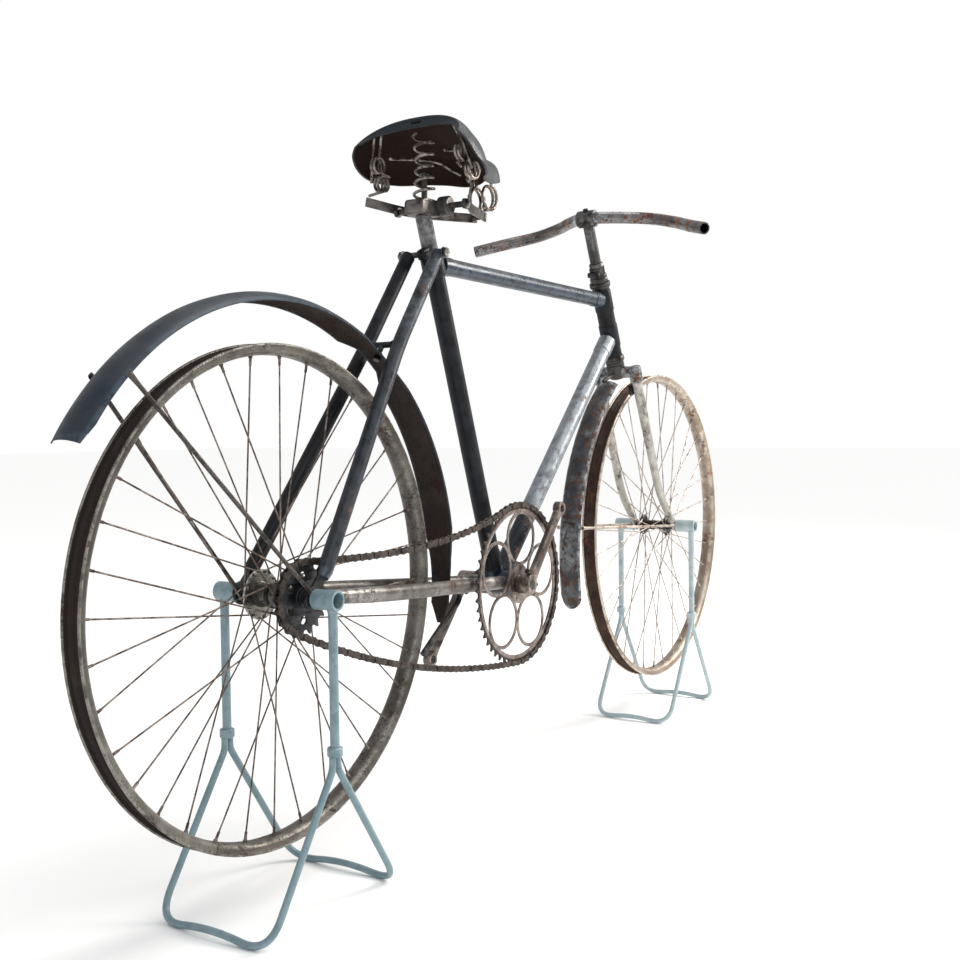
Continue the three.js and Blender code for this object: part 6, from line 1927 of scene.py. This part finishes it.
centre_spring = Form()
upright_coil(centre_spring, from_post(12, 0, 3.5), 0.096, (0.0165, 0.013), 5.5, 0.0023)
rod(centre_spring, from_post(12, 0, 0), from_post(12, 0, 40), 0.0046, 20, 1)
round_head(centre_spring, from_post(12, 0, 40), UP, 0.0068, 0.003, 1)
make_piece("saddle_centre_spring", centre_spring, ("saddle_steel", "nut_black"), "frame",
           "bare_steel")
for name, side in SIDES:
    spring = Form()
    coil(spring, from_post(14, side * 84, 36), side, 0.012, 2.75, 0.006, 0.0023,
         from_post(-6, side * 92, 14.8), saddle_point(SADDLE_ROWS[1], side * 0.8, 6.3))
    dress(f"saddle_spring_{name}", spring, ("saddle_steel",), "frame", "bare_steel")
nose_spring = Form()
for side in (-1, 1):
    coil(nose_spring, from_post(180, side * 12, 30), side, 0.019, 1.5, 0.007, 0.0027,
         from_post(160, side * 8, 8.8), saddle_point(SADDLE_ROWS[7], side * 0.7, 6.7))
rod(nose_spring, from_post(160, -12, 8.8), from_post(160, 12, 8.8), 0.003, 16)
dress("saddle_nose_spring", nose_spring, ("saddle_steel",), "frame", "bare_steel")
post = Form()
turned(post, [(ON_AXIS, 0.497), (0.0118, 0.497), (0.0124, 0.498), (0.0124, 0.6392), (0.0116, 0.64),
              (ON_AXIS, 0.64)], CRANK_CENTRE, SEAT, 40)
dress("seat_post", post, ("post_steel",), "frame", "bare_steel")


# %% [markdown]
# ## Display stands
#
# Each wheel's axle rests in two painted sockets. A tube runs down from each socket, and two wires
# leave its foot, spread fore and aft and join across below as a foot on the floor.

# %% Stands
STAND_CORNER = 0.042
POST_INSET = 0.009
FOOT_REACH = 0.128
FOOT_DROP = -0.4


def stand(prefix, centre, socket_inner, socket_outer, body, finish):
    post_y = socket_outer - POST_INSET
    for name, side in SIDES:
        form = Form()
        ends = sorted((side * socket_inner, side * socket_outer))
        chamfered_ring(form, centre, 0.01, 0.0129, ends[0], ends[1], chamfer=0.0005)
        foot = centre + LEFT * (side * post_y)
        sweep(form, [foot + Vector((0, 0, z)) for z in (-0.0112, -0.016, -0.023, -0.184)],
              rounds(0.0076, 0.0064, 0.006, 0.006), 24)
        turned(form, [(0.005, -0.1958), (0.0092, -0.1958), (0.0099, -0.195), (0.0099, -0.1856),
                      (0.0085, -0.1842), (0.005, -0.1842)], foot, UP, 32)
        dress(f"{prefix}_stand_{name}", form, (finish,), body, "stand_paint")
    for name, way in (("back", -1), ("front", 1)):
        corners = []
        for side in (1, -1):
            leg = [(0.0049, side * post_y, -0.1963), (0.0049, side * post_y, -0.2123),
                   (FOOT_REACH, side * post_y, FOOT_DROP)]
            corners += leg if side > 0 else [(FOOT_REACH, 0, FOOT_DROP + 0.13 * post_y)] + leg[::-1]
        line = bent([centre + Vector((way * x, y, z)) for x, y, z in corners], STAND_CORNER, 12)
        form = Form()
        sweep(form, line, 0.0046, 20)
        dress(f"{prefix}_stand_rod_{name}", form, (finish,), body, "stand_paint")


stand("rear", REAR_AXLE, 0.0651, 0.101, "frame", "stand_paint")
stand("front", FRONT_AXLE, 0.0501, 0.091, "fork", "pale_stand_paint")


# %% [markdown]
# ## Floor and light
#
# The bicycle stands on a pale floor in a pale studio. A large soft light from the front right
# bleaches the front wheel as in the photograph, a weaker one fills the shadows from behind on the
# right, and the surroundings are nearly white.

# %% Studio
def plain_material(name, rgb, roughness):
    material = bpy.data.materials.new(name)
    material.use_nodes = True
    shader = material.node_tree.nodes["Principled BSDF"]
    shader.inputs["Base Color"].default_value = colour(rgb)
    shader.inputs["Roughness"].default_value = roughness
    return material


FLOOR_HALF = 30.0
FLOOR_COLOUR = (0.97, 0.97, 0.965)
floor_mesh = bpy.data.meshes.new("floor")
floor_sides = ((-1, -1), (1, -1), (1, 1), (-1, 1))
floor_corners = [(x * FLOOR_HALF, y * FLOOR_HALF, 0) for x, y in floor_sides]
floor_mesh.from_pydata(floor_corners, [], [(0, 1, 2, 3)])
floor_mesh.materials.append(plain_material("pale_floor", FLOOR_COLOUR, 0.9))
floor = bpy.data.objects.new("floor", floor_mesh)
scene.collection.objects.link(floor)


def soft_light(name, place_at, aim_at, size, power, rgb):
    data = bpy.data.lights.new(name, "AREA")
    data.shape = "DISK"
    data.size = size
    data.energy = power
    data.color = rgb
    lamp = bpy.data.objects.new(name, data)
    lamp.location = place_at
    direction = Vector(aim_at) - Vector(place_at)
    lamp.rotation_euler = direction.to_track_quat("-Z", "Y").to_euler()
    scene.collection.objects.link(lamp)
    return lamp


soft_light("front_right_light", (2.2, -1.7, 1.9), (0.6, 0, 0.45), 1.2, 72, (1.0, 0.95, 0.88))
soft_light("rear_right_light", (-2.6, -2.4, 2.6), (-0.3, 0, 0.5), 2.6, 30, (0.9, 0.95, 1.0))
SUN_STRENGTH = 1.7
SUN_FROM = (0.75, -0.55, 1.5)
sun = bpy.data.objects.new("overhead_sun", bpy.data.lights.new("overhead_sun", "SUN"))
sun.data.energy = SUN_STRENGTH
sun.data.angle = math.radians(50)
sun.rotation_euler = Vector([-c for c in SUN_FROM]).to_track_quat("-Z", "Y").to_euler()
scene.collection.objects.link(sun)

# %% [markdown]
# The camera sees a white world, while the light it throws on the bicycle is weaker. The Light Path
# node tells the two apart, which keeps the background clean and the shadows soft.

# %% Surroundings
AMBIENT = 0.55
world = bpy.data.worlds.new("studio")
world.use_nodes = True
sky = world.node_tree
seen = add_node(sky, "ShaderNodeLightPath").outputs["Is Camera Ray"]
strength = ramp(sky, seen, 0.0, 1.0, AMBIENT, 1.0)
sky.nodes["Background"].inputs["Color"].default_value = (1, 1, 1, 1)
sky.links.new(strength, sky.nodes["Background"].inputs["Strength"])
scene.world = world
scene.view_settings.view_transform = "Standard"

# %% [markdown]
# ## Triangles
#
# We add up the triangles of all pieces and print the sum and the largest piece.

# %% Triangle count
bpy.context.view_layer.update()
print("triangles:", sum(triangle_count.values()), "largest:",
      max(triangle_count, key=triangle_count.get))
